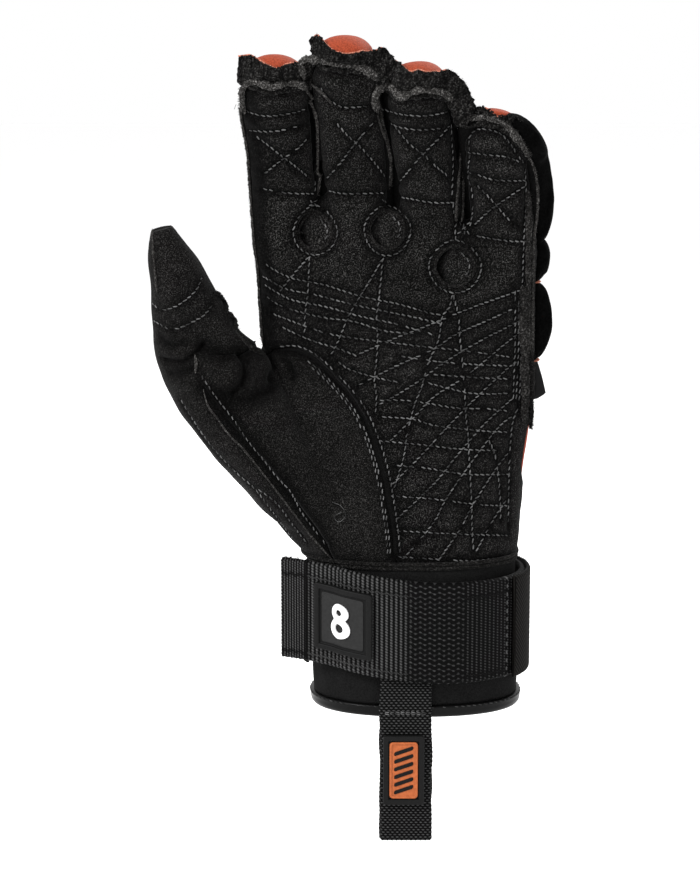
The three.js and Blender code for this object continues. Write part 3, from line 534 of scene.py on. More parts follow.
# Outer stitched ring of each keyhole: its left, top, right and bottom points
KEYHOLE_RINGS = [
    ((293, 234), (315, 205), (337.5, 230), (312, 255)),
    ((364, 230), (386.4, 205), (411, 225.5), (384, 256)),
    ((428.6, 267), (454.7, 240), (481.5, 263), (449.4, 293)),
]

# The seam round the ball of the thumb, and how far to its sides its rows of stitches run
# in pixels: one on the palm's side, and two on the ball's side that start further on
PALM_SEAM_PIXELS = [
    (280, 351), (295, 350), (310, 356), (323, 366), (335, 378), (347, 391), (356, 402),
    (365, 417), (372, 433), (378, 450), (384, 471), (388, 492), (391, 511), (394, 533),
    (396, 554),
]
SEAM_ROW = 4.5
BALL_ROWS = (5.6, 8.2)
BALL_ROWS_FROM = 2
THENAR_ROWS = [
    [(200.8, 375), (217.3, 399), (233.9, 420), (248, 441), (262, 458), (276.4, 477),
     (290.5, 491), (300, 510), (314, 529), (326, 545)],
    [(257.5, 488.6), (276.4, 502.7), (290.5, 521.6), (307, 543)],
    [(180.8, 399), (193.7, 420), (208, 441), (224.4, 460), (238.6, 474.4), (255, 488.6),
     (271.6, 510), (285.8, 528.7), (297, 545)],
]
THENAR_RAW_EDGE = [
    (203, 389.4), (208, 406), (217.3, 417.7), (229, 434.3), (243.3, 448.4), (262.2, 472),
    (295.3, 514.5), (314, 538), (333, 560),
]
THUMB_ROWS = [
    [(152, 303), (162, 310), (175.5, 306.4), (187.6, 298.4), (197, 289), (201.7, 277)],
    [(153.4, 320.5), (169.5, 329), (179.6, 328), (194.3, 321), (205, 314.5),
     (211.7, 305)],
]

# Soft folds of the thumb and its ball, darkened along their lines with painted shade:
# lines, depths and widths
SOFT_FOLDS = [
    ([(163, 361), (174, 362), (184, 361), (196, 352.5), (203, 344)], 2.0, 1.4),
    ([(170, 374), (180, 372), (189, 370), (195, 366)], 1.3, 2.0),
    ([(160, 338), (172, 345), (186, 342)], 0.8, 1.6),
    ([(204, 347), (216, 352), (229, 355), (240, 351)], 2.2, 3.8),
    ([(244, 351), (247.7, 366), (244, 382), (234, 392)], 3.0, 2.2),
    ([(222, 398), (238, 402), (254, 398), (269, 391), (275, 380)], 2.5, 3.4),
    ([(268, 356), (273, 366), (272, 376)], 0.8, 1.6),
    ([(283, 359), (290, 367), (292, 378)], 0.8, 1.5),
]
THUMB_FRAY = [
    (212.6, 292.6), (218.5, 296.2), (224.4, 304.4), (225.5, 313), (232.7, 318.6),
    (235.5, 330), (243.3, 339.8), (252.8, 349.3), (263, 354.5),
]
THUMB_EDGES = [
    ([(153, 230), (154, 250), (156, 275), (158, 293)], 0.8),
    ([(195, 355), (196.5, 364), (195.6, 373.5)], 1.2),
]
RIGHT_FRAY = [(529.5, 350), (530.5, 375), (530.5, 400), (529.5, 429)]
CRUSHED_EDGE = [
    (521.5, 286), (523, 305), (522, 325), (524, 348), (523.5, 370), (524.5, 392), (523.5, 414),
    (525.5, 424),
]
RIGHT_BAND = [
    (527, 190), (528.5, 215), (528.5, 240), (528, 290), (527.5, 340), (526.5, 385),
    (524, 425),
]
SEAM_BACKING = [(252, 355), (262, 353), (272, 351.5)]
LOOSE_THREADS = [
    [(332, 502), (341, 506), (346, 515), (339, 522), (334, 516), (342, 512)],
    [(237, 104), (235, 109)],
]

# Raw edges on the thumb and on the little-finger side, frayed where they end: name, then
# material, rounds of smoothing, lift, lengths of the hairs, and for each line of pixels
# its width, height and number of hairs, which is two to a point where none is given
FRAYS = {
    "thumb_thin_edge": ("thin_edge", 8, 0.2, (0.2, 0.5), [
        *[(pixels, width, 0.8, None) for pixels, width in THUMB_EDGES],
        (THENAR_RAW_EDGE, 0.6, 0.8, None),
    ]),
    "frayed_edges": ("flap", 3, 0, (0.4, 1.2), [
        (THUMB_FRAY, 1.9, 1.6, 420), (RIGHT_FRAY, 2.4, 1.6, 900),
    ]),
    "side_raw_edge": ("raw_band", 6, 0, (0.4, 1.1), [
        (RIGHT_BAND, 2.8, 1.0, 1500), (CRUSHED_EDGE, 3.0, 1.6, 1300),
    ]),
}

# Fuzzy raw edge over the front of each finger tip: lines of pixels, then widths, height,
# step, number of hairs, and thickness of the cloth that carries it
LIPS = {
    "index": [
        (246.5, 114), (245, 107), (244.3, 98), (244.6, 90), (250, 84.5), (258, 83.2),
        (264.6, 86.6), (272.5, 89.6), (278, 87.4), (287, 85.2), (298, 86), (304, 90.5),
    ],
    "middle": [
        (303, 81), (301, 76), (300.5, 70), (303.7, 63.8), (311.5, 60.3), (320.4, 60.8),
        (331.6, 64), (345, 66), (358.4, 69), (369.6, 73.6), (375, 80),
    ],
    "ring": [
        (376, 113), (374, 106), (373.2, 96), (376.5, 88.5), (385, 85.2), (392, 89),
        (398.6, 95.5), (404, 98.5), (409.7, 94.8), (420.9, 91.5), (434, 92.5),
        (445.4, 96.5), (452, 104.8), (456, 116), (458, 124),
    ],
    "little": [
        (459, 142), (459.5, 133), (461.5, 125.5), (468, 120), (479, 119.5),
        (490, 121), (500, 124.5), (508, 130), (514.5, 137), (521, 146), (526, 156),
    ],
}
LIP_WIDTHS = {"index": 2.5, "middle": 3.1, "ring": 2.8, "little": 2.3}
LIP_HEIGHT = 2.0
LIP_STEP = 0.45
LIP_HAIRS = 1000
LIP_FLANGE = 1.6

# Thin raw edges down the sides of the fingers, with their widths
THIN_EDGES = {
    "index": [
        ([(304, 90.5), (311, 99), (316.5, 112), (319, 127), (319.6, 150),
          (318.8, 172), (316, 196)], 1.0),
        ([(241.6, 106), (242, 112), (245, 130), (248.5, 150), (250.5, 172), (255, 239), (259, 270),
          (262, 319), (264, 346)], 0.8),
    ],
    "middle": [
        ([(309, 82), (317, 87), (325, 95), (332.7, 105)], 0.9),
        ([(375, 80), (377, 100), (382, 127), (388, 150), (389.5, 169), (389, 188)], 0.8),
    ],
    "ring": [
        ([(376, 113), (379.5, 126), (384, 140), (387.6, 155), (389, 171), (387.5, 190)],
         1.0),
        ([(458, 124), (459, 145), (458, 170), (456, 200), (455, 222)], 0.8),
    ],
    "little": [
        ([(459, 142), (460.5, 160), (461.5, 185), (461, 222)], 0.8),
        ([(526, 156), (531.5, 166), (535, 182), (536, 201.8), (534.5, 221.6),
          (532.5, 240), (531.5, 287), (531.3, 333), (530.5, 352)], 1.1),
    ],
}

# Flaps on the finger tips: upper line, lower line and where orange edges the upper one
TIP_FLAPS = {
    "index": (
        [(238.5, 56.6), (250, 55.8), (256.8, 59), (264.6, 63.5), (274.7, 67.5),
         (278.5, 68.2), (287, 64), (297, 62.4), (306, 61.7), (313, 63)],
        [(236.5, 76), (243.4, 81), (256, 84), (272, 88), (286, 86), (303, 86), (312, 84)],
        (0.0, 0.94),
    ),
    "middle": (
        [(311, 42), (316.4, 34.5), (321.6, 39), (329.4, 46.8), (336, 51.3), (345, 54),
         (354, 53.5), (362.9, 51.3), (376.3, 50), (384, 47.2), (388, 51), (396.3, 61.3)],
        [(310.4, 44), (314, 53), (318, 61), (331.6, 64), (345, 66), (362.9, 70),
         (376, 78), (388, 76)],
        (0.0, 0.8),
    ),
    "ring": (
        [(383, 63), (390, 61.4), (396.3, 60.8), (402, 64.6), (407.5, 70), (412, 72.5),
         (418.7, 69.6), (424, 71.8), (434.3, 71.3), (441, 71.8), (447.7, 69.6),
         (454.4, 72.5), (460, 78), (464.4, 81.4), (467.8, 87), (472, 97), (476, 106)],
        [(381, 82), (390, 90), (400, 97), (412, 92), (428, 91), (442, 94),
         (451, 104), (456, 119), (466, 122)],
        (0.0, 0.6),
    ),
    "little": (
        [(471, 109), (476, 107), (484, 107.5), (488, 109.5), (491, 112),
         (495.7, 115.5), (499, 117), (504, 115.5), (510, 114.5), (517, 117), (522, 124)],
        [(464, 119), (479, 120.5), (492, 121.6), (504, 127), (513, 135), (523, 148)],
        (0.25, 0.6),
    ),
}


def smoothstep(value, low, high):
    share = np.clip((value - low) / (high - low), 0, 1)
    return share * share * (3 - 2 * share)


def lerp(a, b, share):
    return a + (b - a) * share


def unit(vectors):
    length = np.linalg.norm(vectors, axis=-1, keepdims=True)
    return vectors / np.maximum(length, 1e-9)


# 1 on a line, falling softly to 0 within about two widths of it
def bell(distance, width):
    return np.exp(-((distance / width) ** 2))


def groove(distance, depth, width):
    return -depth * bell(distance, width)


# 0 at both ends of a share from 0 to 1, and 1 in its middle; a low power makes it fuller
def bulge(share, power):
    return max(0, math.sin(math.pi * share)) ** power


# Turns the sines and cosines of an ellipse into those of a squarer section
def squarish(value):
    return np.sign(value) * abs(value) ** (2 / ROUNDNESS)


# The camera's line of sight through a pixel
def sight(pixel):
    x, y = pixel
    return unit(
        FOCAL_PIXELS * FORWARD
        + (x - IMAGE_WIDTH / 2) * RIGHTWARD
        - (y - IMAGE_HEIGHT / 2) * UPWARD
    )


# The point of a pixel's sight line at the depth y
def at_depth(pixel, y):
    ray = sight(pixel)
    return EYE + ray * (y - EYE[1]) / ray[1]


# Points along a smooth line through the given ones, a step apart
def smooth_line(points, step):
    points = np.asarray(points, float)
    if len(points) > 2:
        before = 2 * points[0] - points[1]
        after = 2 * points[-1] - points[-2]
        p = np.vstack([before, points, after])
        t = np.linspace(0, 1, CURVE_STEPS, endpoint=False)[:, None]
        runs = []
        for a, b, c, d in zip(p[:-3], p[1:-2], p[2:-1], p[3:]):
            runs.append(
                0.5
                * (
                    2 * b
                    + (c - a) * t
                    + (2 * a - 5 * b + 4 * c - d) * t**2
                    + (3 * b - a - 3 * c + d) * t**3
                )
            )
        points = np.vstack(runs + [points[-1:]])
    return even(points, step)


# The same line with its points evenly spaced, a step apart or as many as count
def even(points, step=None, count=None):
    gaps = np.linalg.norm(np.diff(points, axis=0), axis=1)
    along = np.concatenate([[0], np.cumsum(gaps)])
    count = count or max(2, int(round(along[-1] / step)) + 1)
    at = np.linspace(0, along[-1], count)
    return np.stack([np.interp(at, along, points[:, k]) for k in range(points.shape[1])], 1)


# A line smoothed by taking each point towards its neighbours
def even_out(places, rounds):
    for _ in range(rounds):
        middle = (places[:-2] + 2 * places[1:-1] + places[2:]) / 4
        places = np.concatenate([places[:1], middle, places[-1:]])
    return places


# Rows of a table at many keys, with smooth slopes through the rows
def through_rows(keys, rows, at):
    keys = np.asarray(keys, float)
    rows = np.asarray(rows, float)
    slopes = np.gradient(rows, keys, axis=0)
    k = np.clip(np.searchsorted(keys, at, side="right") - 1, 0, len(keys) - 2)
    span = (keys[k + 1] - keys[k])[:, None]
    t = ((at - keys[k])[:, None]) / span
    a, b = rows[k], rows[k + 1]
    da, db = slopes[k] * span, slopes[k + 1] * span
    return (
        (2 * t**3 - 3 * t**2 + 1) * a
        + (t**3 - 2 * t**2 + t) * da
        + (3 * t**2 - 2 * t**3) * b
        + (t**3 - t**2) * db
    )


# Distance of each point from the nearest of some others
def nearest(others, points):
    tree = KDTree(len(others))
    for k, p in enumerate(others):
        tree.insert(p, k)
    tree.balance()
    return np.array([tree.find(p)[2] for p in points])


# Soft unevenness: a few waves in random directions, within about -1 to 1
def waves(points, length, count=7, seed=3):
    source = np.random.default_rng(seed)
    total = np.zeros(len(points))
    for _ in range(count):
        direction = unit(source.normal(size=3))
        total += np.sin(
            points @ direction * 2 * np.pi / (length * source.uniform(0.6, 1.5))
            + source.uniform(0, 6.3)
        )
    return total / math.sqrt(count)


# Faces of a closed body turned to look outwards
def outward(verts, faces):
    groups = {}
    for face in faces:
        groups.setdefault(len(face), []).append(face)
    volume = 0.0
    for sides, group in groups.items():
        corners = np.asarray(verts)[np.array(group)]
        for k in range(1, sides - 1):
            across = np.cross(corners[:, k], corners[:, k + 1])
            volume += (corners[:, 0] * across).sum()
    if volume >= 0:
        return faces
    if isinstance(faces, np.ndarray):
        return np.ascontiguousarray(faces[:, ::-1])
    return [face[::-1] for face in faces]


# A closed ring round a centre, rounder than a box and squarer than an ellipse
def ring(centre, u, v, across, front, back, sides):
    turn = 2 * np.pi * (np.arange(sides) + 0.5) / sides
    c, s = np.cos(turn), np.sin(turn)
    a = squarish(c) * across
    b = squarish(s) * np.where(s < 0, front, back)
    return centre + a[:, None] * u + b[:, None] * v


# Vertices and faces of a closed form through rings
def loft(rings):
    rings = np.asarray(rings)
    count, sides = rings.shape[:2]
    verts = np.vstack([rings.reshape(-1, 3), rings[0].mean(0), rings[-1].mean(0)])
    i = np.arange(sides)
    j = (i + 1) % sides
    first, last = count * sides, count * sides + 1
    top = (count - 1) * sides
    faces = grid_quads(rings, closed_across=True).tolist()
    faces += np.stack([np.full(sides, first), j, i], 1).tolist()
    faces += np.stack([np.full(sides, last), top + i, top + j], 1).tolist()
    return verts, outward(verts, faces)


# Quads between the points of a grid, which may close up across its rows and along them
def grid_quads(grid, closed_across=False, closed_along=False):
    rows, across = grid.shape[:2]
    k = np.arange(rows * across).reshape(rows, across)
    if closed_across:
        k = np.hstack([k, k[:, :1]])
    if closed_along:
        k = np.vstack([k, k[:1]])
    return np.stack([k[:-1, :-1], k[:-1, 1:], k[1:, 1:], k[1:, :-1]], 2).reshape(-1, 4)


# Several bodies as one
def join(parts):
    verts = []
    faces = []
    start = 0
    for part_verts, part_faces in parts:
        verts.append(np.asarray(part_verts))
        faces += [[start + int(k) for k in face] for face in part_faces]
        start += len(part_verts)
    return np.vstack(verts), faces


# The hand's sections at heights
def hand_rows(at):
    rows = np.array(HAND, float)
    return through_rows(rows[:, 0], rows[:, 1:], np.asarray(at, float))


def hand_rings(heights, outset, sides):
    rings = []
    for z, (left, right, front, back, slope) in zip(heights, hand_rows(heights)):
        rings.append(
            ring(
                np.array([(left + right) / 2, 0, z]),
                np.array([1, 0, slope]),
                BACKWARD,
                (right - left) / 2 + outset,
                outset - front,
                outset + back,
                sides,
            )
        )
    return rings


# The point beside the hand at a height and a turn from its right side to its back
def beside_hand(z, turn, outset):
    left, right, front, back, _ = hand_rows([z])[0]
    c, s = math.cos(turn), math.sin(turn)
    a = ((right - left) / 2 + outset) * squarish(c)
    b = (outset - front if s < 0 else back + outset) * squarish(s)
    return np.array([(left + right) / 2 + a, b, z])


def thumb_rings():
    count, sides = THUMB_MESH
    rows = np.array(THUMB, float)
    keys = np.arange(len(rows), dtype=float)
    rings = []
    for row in through_rows(keys, rows, np.linspace(0, keys[-1], count)):
        centre, (lean, width, depth) = row[:3], row[3:]
        lean = math.radians(lean)
        u = np.array([math.cos(lean), 0, math.sin(lean)])
        rings.append(ring(centre, u, BACKWARD, width, depth, depth, sides))
    return rings


# A finger's centre line: places, directions and half sizes at even distances
class Finger:
    STATIONS = 160

    def __init__(self, name):
        (x, z, length, curl, drift, root_width, tip_width, root_depth, tip_depth,
         edge) = FINGERS[name]
        self.length = length
        self.front_end = length - edge
        self.at = np.linspace(0, length, self.STATIONS)
        share = self.at / length
        lean = math.radians(curl) * share**CURL_POWER
        step = self.at[1]
        middle = (lean[1:] + lean[:-1]) / 2
        y = ROOT_Y - np.concatenate([[0], np.cumsum(np.sin(middle) * step)])
        up = z + np.concatenate([[0], np.cumsum(np.cos(middle) * step)])
        side = x + drift * smoothstep(share, *DRIFT_RANGE)
        zero = np.zeros_like(share)
        self.centre = np.stack([side, y, up], 1)
        self.along = np.stack([zero, -np.sin(lean), np.cos(lean)], 1)
        self.dorsal = np.stack([zero, np.cos(lean), np.sin(lean)], 1)
        narrow = lerp(ROOT_SHARE, 1, smoothstep(share, *ROOT_RANGE))
        self.width = lerp(root_width, tip_width, share) * narrow
        self.depth = lerp(root_depth, tip_depth, share)

    def station(self, distance):
        return int(np.clip(round(distance / self.at[1]), 0, self.STATIONS - 1))

    def rings(self):
        sections, sides = FINGER_MESH
        straight = self.length - TIP_ROUNDING
        turns = np.linspace(0, np.pi / 2 - TIP_OPEN, TIP_SECTIONS + 1)[1:]
        places = [(d, 1) for d in np.linspace(0, straight, sections)]
        places += [(straight + TIP_ROUNDING * math.sin(t), math.cos(t)) for t in turns]
        made = []
        for distance, scale in places:
            k = self.station(distance)
            centre = self.centre[k] + self.along[k] * (distance - self.at[k])
            width, depth = self.width[k] * scale, self.depth[k] * scale
            made.append(ring(centre, RIGHTWARD, self.dorsal[k], width, depth, depth, sides))
        return made

    # Distance along, across and towards the back of points, and the nearest station
    def local(self, points):
        rough = self.centre[::4]
        gap = ((points[:, None, 1:] - rough[None, :, 1:]) ** 2).sum(2)
        k = gap.argmin(1) * 4
        offset = points - self.centre[k]
        along = self.at[k] + (offset * self.along[k]).sum(1)
        return along, offset[:, 0], (offset * self.dorsal[k]).sum(1), k

    # Its left (-1) or right (1) side, at heights
    def side(self, way, z):
        return np.interp(z, self.centre[:, 2], self.centre[:, 0] + way * self.width)


fingers = [Finger(name) for name in NAMES]


def new_object(name, data):
    made = bpy.data.objects.new(name, data)
    bpy.context.scene.collection.objects.link(made)
    return made


# An object's mesh with its modifiers applied, and the places of its vertices
def evaluated(carrier):
    made = carrier.evaluated_get(bpy.context.evaluated_depsgraph_get()).to_mesh()
    co = np.empty(len(made.vertices) * 3, np.float32)
    made.vertices.foreach_get("co", co)
    return made, co.reshape(-1, 3)


# One closed surface over several forms, as vertices and quads
def skin(forms):
    verts, faces = join(forms)
    mesh = bpy.data.meshes.new("forms")
    mesh.from_pydata(verts.tolist(), [], faces)
    carrier = new_object("forms", mesh)
    remesh = carrier.modifiers.new("remesh", "REMESH")
    remesh.mode = "VOXEL"
    remesh.voxel_size = VOXEL
    made, co = evaluated(carrier)
    loops = np.empty(len(made.loops), np.int32)
    made.loops.foreach_get("vertex_index", loops)
    bpy.data.objects.remove(carrier)
    bpy.data.meshes.remove(mesh)
    return co.astype(float), loops.reshape(-1, 4)


def edges_of(quads):
    return np.vstack([quads[:, [0, 1]], quads[:, [1, 2]], quads[:, [2, 3]], quads[:, [3, 0]]])


# Moves each vertex towards the middle of its neighbours, and back, so the form keeps its size
def relax(verts, pairs, rounds, free=None, pull=0.5, push=-0.52):
    count = np.bincount(pairs.ravel(), minlength=len(verts))[:, None]
    verts = verts.copy()
    for _ in range(rounds):
        for amount in (pull, push):
            total = np.zeros_like(verts)
            for k in range(3):
                total[:, k] = np.bincount(pairs[:, 0], verts[pairs[:, 1], k], len(verts))
                total[:, k] += np.bincount(pairs[:, 1], verts[pairs[:, 0], k], len(verts))
            move = (total / np.maximum(count, 1) - verts) * amount
            if free is not None:
                move *= free[:, None]
            verts += move
    return verts


def normals_of(verts, quads):
    a, b, c, d = (verts[quads[:, k]] for k in range(4))
    face = np.cross(c - a, d - b)
    normals = np.zeros_like(verts)
    for corner in range(4):
        for k in range(3):
            normals[:, k] += np.bincount(quads[:, corner], face[:, k], len(verts))
    return unit(normals)


# Which points lie within an outline in x and z
def inside(outline, x, z):
    result = np.zeros(len(x), bool)
    for (ax, az), (bx, bz) in zip(outline, outline[1:] + outline[:1]):
        crosses = (az > z) != (bz > z)
        at = ax + (z - az) * (bx - ax) / ((bz - az) or 1e-9)
        result ^= crosses & (x < at)
    return result


# The region of each point of the glove's surface
def regions_of(points, normals):
    x, y, z = points.T
    local = [finger.local(points) for finger in fingers]
    distance = np.stack([
        np.hypot(across, depth) + PAST_TIP * np.maximum(0, along - finger.length)
        for finger, (along, across, depth, _) in zip(fingers, local)
    ])
    owner = distance.argmin(0)

    def own(values):
        return np.stack(values)[owner, np.arange(len(points))]

    along, across, depth = (own([values[k] for values in local]) for k in range(3))
    half = own([finger.depth[values[3]] for finger, values in zip(fingers, local)])
    front_end = np.array([finger.front_end for finger in fingers])[owner]
    length = np.array([finger.length for finger in fingers])[owner]
    web = smoothstep(z, *WEB)
    dome = smoothstep(along, length - DOME_RANGE[0], length - DOME_RANGE[1])
    front = np.minimum(-FRONT_SEAM * half - depth, front_end - along)
    meets = np.where(across > 0, owner < len(fingers) - 1, owner > 0)
    seam = np.where(meets, MEETING_SEAM, BACK_SEAM)
    tip = lerp(np.array(DOME_SEAM)[owner], SIDE_DOME, smoothstep(np.abs(across), *DOME_HALF))
    back = depth - lerp(seam, tip, dome) * half
    side = np.interp(z, *np.array(SIDE_SEAM).T)
    right = np.clip((x - SIDE_FROM[0]) / (SIDE_FROM[1] - SIDE_FROM[0]), 0, 1)
    front = lerp(lerp(PALM_EDGE, side, right) - y, front, web)
    back = lerp(y - lerp(BACK_EDGE, side, right), back, web)
    wall = FIRST_WALL + owner + (across > 0)
    wall = np.where(web > 0, wall, np.where(x < 0, FIRST_WALL, FIRST_WALL + 4))
    region = np.where(front > 0, PALM, np.where(back > 0, BACK, wall))
    saddle = (normals[:, 2] > SADDLE_TILT) & (z > WEB[0]) & (z < SADDLE_TOP) & meets
    region = np.where(saddle & (front < SADDLE_FRONT), wall, region)
    thumb = inside(FAR_LEFT + PALM_SEAM[::-1], x, z)
    ahead = y < np.interp(x, *np.array(THUMB_SPLIT).T)
    thenar = inside([(0, 40), (0, THUMB_SEAM[0][1])] + THUMB_SEAM, x, z)
    behind = inside([CROTCH] + FAR_LEFT + [THUMB_FOOT], x, z)
    region = np.where(thumb & ahead, np.where(thenar, THENAR, THUMB_FRONT), region)
    region = np.where(behind & ~ahead, THUMB_BACK, region)
    return np.where(z < CUFF_TOP + PANEL_GAP, SLEEVE, region)


# Faces beside each other, for smoothing the regions' edges
def face_pairs(quads):
    pairs = np.sort(edges_of(quads), axis=1)
    face = np.tile(np.arange(len(quads)), 4)
    order = np.lexsort((pairs[:, 1], pairs[:, 0]))
    pairs, face = pairs[order], face[order]
    same = (pairs[1:] == pairs[:-1]).all(1)
    return face[:-1][same], face[1:][same]


# The regions of the faces, with smooth edges: each face sides with most of its neighbours
def settled_regions(verts, quads):
    region = regions_of(verts[quads].mean(1), unit(normals_of(verts, quads)[quads].mean(1)))
    a, b = face_pairs(quads)
    for _ in range(VOTES):
        votes = np.zeros((len(quads), len(REGIONS)))
        np.add.at(votes, (a, region[b]), 1)
        np.add.at(votes, (b, region[a]), 1)
        votes[np.arange(len(quads)), region] += OWN_VOTE
        region = votes.argmax(1)
    return region


# An open surface of vertices and quads, with its normals and its own edge
class Sheet:
    def __init__(self, verts, quads):
        self.verts, self.quads = verts, quads
        self.normals = normals_of(verts, quads)
        pairs = edges_of(quads)
        key = np.sort(pairs, axis=1)
        _, first, count = np.unique(key, axis=0, return_index=True, return_counts=True)
        self.rim = pairs[first[count == 1]]
        self.edge = np.unique(self.rim)

    def smooth_edge(self):
        free = np.zeros(len(self.verts))
        free[self.edge] = 1
        self.verts = relax(self.verts, self.rim, EDGE_ROUNDS, free, 0.5, 0.0)
        near = self.edge_distance()
        free = np.where(near > 0, smoothstep(near, BESIDE_EDGE, 0), 0)
        pairs = edges_of(self.quads)
        self.verts = relax(self.verts, pairs, BESIDE_EDGE_ROUNDS, free, 0.5, 0.0)
        self.normals = normals_of(self.verts, self.quads)

    def edge_distance(self):
        return nearest(self.verts[self.edge], self.verts)

    # The surface moved out by an amount for each vertex
    def swell(self, amount):
        self.verts = self.verts + self.normals * amount[:, None]
        self.normals = normals_of(self.verts, self.quads)

    # A closed body with this surface outside
    def thick(self, wall):
        count = len(self.verts)
        inner = self.verts - self.normals * wall
        a, b = self.rim[:, 0], self.rim[:, 1]
        sides = np.stack([b, a, a + count, b + count], 1)
        faces = np.vstack([self.quads, self.quads[:, ::-1] + count, sides])
        verts = np.vstack([self.verts, inner])
        return verts, outward(verts, faces)


def sheet_of(grid, closed=False):
    return Sheet(grid.reshape(-1, 3), grid_quads(grid, closed))


# A material in the making. Its mesh's own values and its noise give colour and bumps.
class Finish:
    def __init__(self, name, colour, roughness, **values):
        self.material = bpy.data.materials.new(name)
        self.material.use_nodes = True
        self.nodes = self.material.node_tree.nodes
        self.links = self.material.node_tree.links
        self.shader = self.nodes["Principled BSDF"]
        self.shader.inputs["Base Color"].default_value = (*colour, 1)
        self.shader.inputs["Roughness"].default_value = roughness
        for key, value in values.items():
            self.shader.inputs[key.replace("_", " ")].default_value = value

    def noise(self, scale, detail, roughness):
        place = self.nodes.new("ShaderNodeTexCoord")
        texture = self.nodes.new("ShaderNodeTexNoise")
        texture.inputs["Scale"].default_value = scale
        texture.inputs["Detail"].default_value = detail
        texture.inputs["Roughness"].default_value = roughness
        self.links.new(place.outputs["Object"], texture.inputs["Vector"])
        return texture.outputs["Fac"]

    def mesh_value(self, name):
        node = self.nodes.new("ShaderNodeAttribute")
        node.attribute_name = name
        return node.outputs["Fac"]

    def ramp(self, value, *stops):
        node = self.nodes.new("ShaderNodeValToRGB")
        while len(node.color_ramp.elements) < len(stops):
            node.color_ramp.elements.new(0.5)
        for element, (place, colour) in zip(node.color_ramp.elements, stops):
            element.position = place
            element.color = (*colour, 1)
        self.links.new(value, node.inputs["Fac"])
        return node.outputs["Color"]

    def times(self, a, b):
        node = self.nodes.new("ShaderNodeMix")
        node.data_type = "RGBA"
        node.blend_type = "MULTIPLY"
        node.inputs["Factor"].default_value = 1
        self.links.new(a, node.inputs["A"])
        self.links.new(b, node.inputs["B"])
        return node.outputs["Result"]

    # The finished material, with its colour, and bumps a distance in metres high
    def made(self, colour, height, distance, strength):
        self.links.new(colour, self.shader.inputs["Base Color"])
        node = self.nodes.new("ShaderNodeBump")
        node.inputs["Distance"].default_value = distance
        node.inputs["Strength"].default_value = strength
        self.links.new(height, node.inputs["Height"])
        self.links.new(node.outputs["Normal"], self.shader.inputs["Normal"])
        return self.material


def grey(value, warmth=0.0):
    return (value * (1 + warmth), value, value * (1 - warmth))


def shade(colour, amount):
    return tuple(min(1, c * amount) for c in colour)


# Suede: dark, matt, with light flecks of nap at about half a millimetre. The mesh's own
# value of painted shade, 0 in the seams, folds and edges and 1 on the lit cushions
# between them, darkens it where shade falls.
def suede(name, dark, light, fleck=0.5, grain=1900, worn=False):
    finish = Finish(
        name, grey(dark), 0.95, Sheen_Weight=0.02, Sheen_Roughness=0.5,
        Specular_IOR_Level=0.03,
    )
    fine = finish.noise(grain, 2.5, 0.75)
    broad = finish.noise(75, 3, 0.6)
    flecks = finish.ramp(
        fine, (0.38, grey(dark * 0.3, 0.05)), (0.53, grey(dark, 0.05)),
        (0.72, grey(light, 0.03)),
    )
    patches = finish.ramp(broad, (0.35, grey(0.6)), (0.65, grey(1.0)))
    colour = finish.times(flecks, patches)
    if worn:
        # Painted shade: the colour darkened by the mesh's own value
        shade_tone = finish.ramp(finish.mesh_value("worn"), (0.0, grey(0.12)), (1.0, grey(1.0)))
        colour = finish.times(colour, shade_tone)
    return finish.made(colour, fine, 0.0003, fleck)


# Smooth cloth, its grain darker and lighter by the two amounts of contrast
def cloth(name, colour, scale=1500, depth=0.0002, roughness=0.85, sheen=0.0,
          contrast=(0.6, 1.5), specular=0.03):
    finish = Finish(
        name, colour, roughness, Sheen_Weight=sheen, Specular_IOR_Level=specular,
    )
    fine = finish.noise(scale, 2, 0.6)
    dark, light = (shade(colour, amount) for amount in contrast)
    return finish.made(finish.ramp(fine, (0.35, dark), (0.65, light)), fine, depth, 0.6)


def plain_rubber(name, colour, roughness=0.5, grain=900):
    finish = Finish(name, colour, roughness, Specular_IOR_Level=0.08)
    fine = finish.noise(grain, 2, 0.5)
    tone = finish.ramp(fine, (0.3, shade(colour, 0.85)), (0.7, shade(colour, 1.12)))
    return finish.made(tone, fine, 0.00008, 0.5)


# Sewing thread, brighter here and duller there
def thread_cloth(name, dark, light):
    finish = Finish(name, light, 0.7, Specular_IOR_Level=0.2)
    tone = finish.ramp(finish.noise(260, 2, 0.6), (0.38, dark), (0.62, light))
    return finish.made(tone, finish.noise(4000, 1, 0.5), 0.0001, 0.6)


# Woven threads: the mesh's own "thread" value is 0 in the gaps and 1 on the threads. The
# gaps get painted shade and the thread tops a painted highlight.
def woven(name, gap, thread, roughness=0.7, scale=2600):
    finish = Finish(name, thread, roughness, Specular_IOR_Level=0.05)
    height = finish.mesh_value("thread")
    fibres = finish.noise(scale, 2, 0.6)
    # Painted shade in the gaps, painted highlight on the threads
    base_tone = finish.ramp(height, (0.36, gap), (0.86, thread))
    tone = finish.ramp(fibres, (0.3, grey(0.6)), (0.7, grey(1.35)))
    return finish.made(finish.times(base_tone, tone), fibres, 0.00015, 0.5)


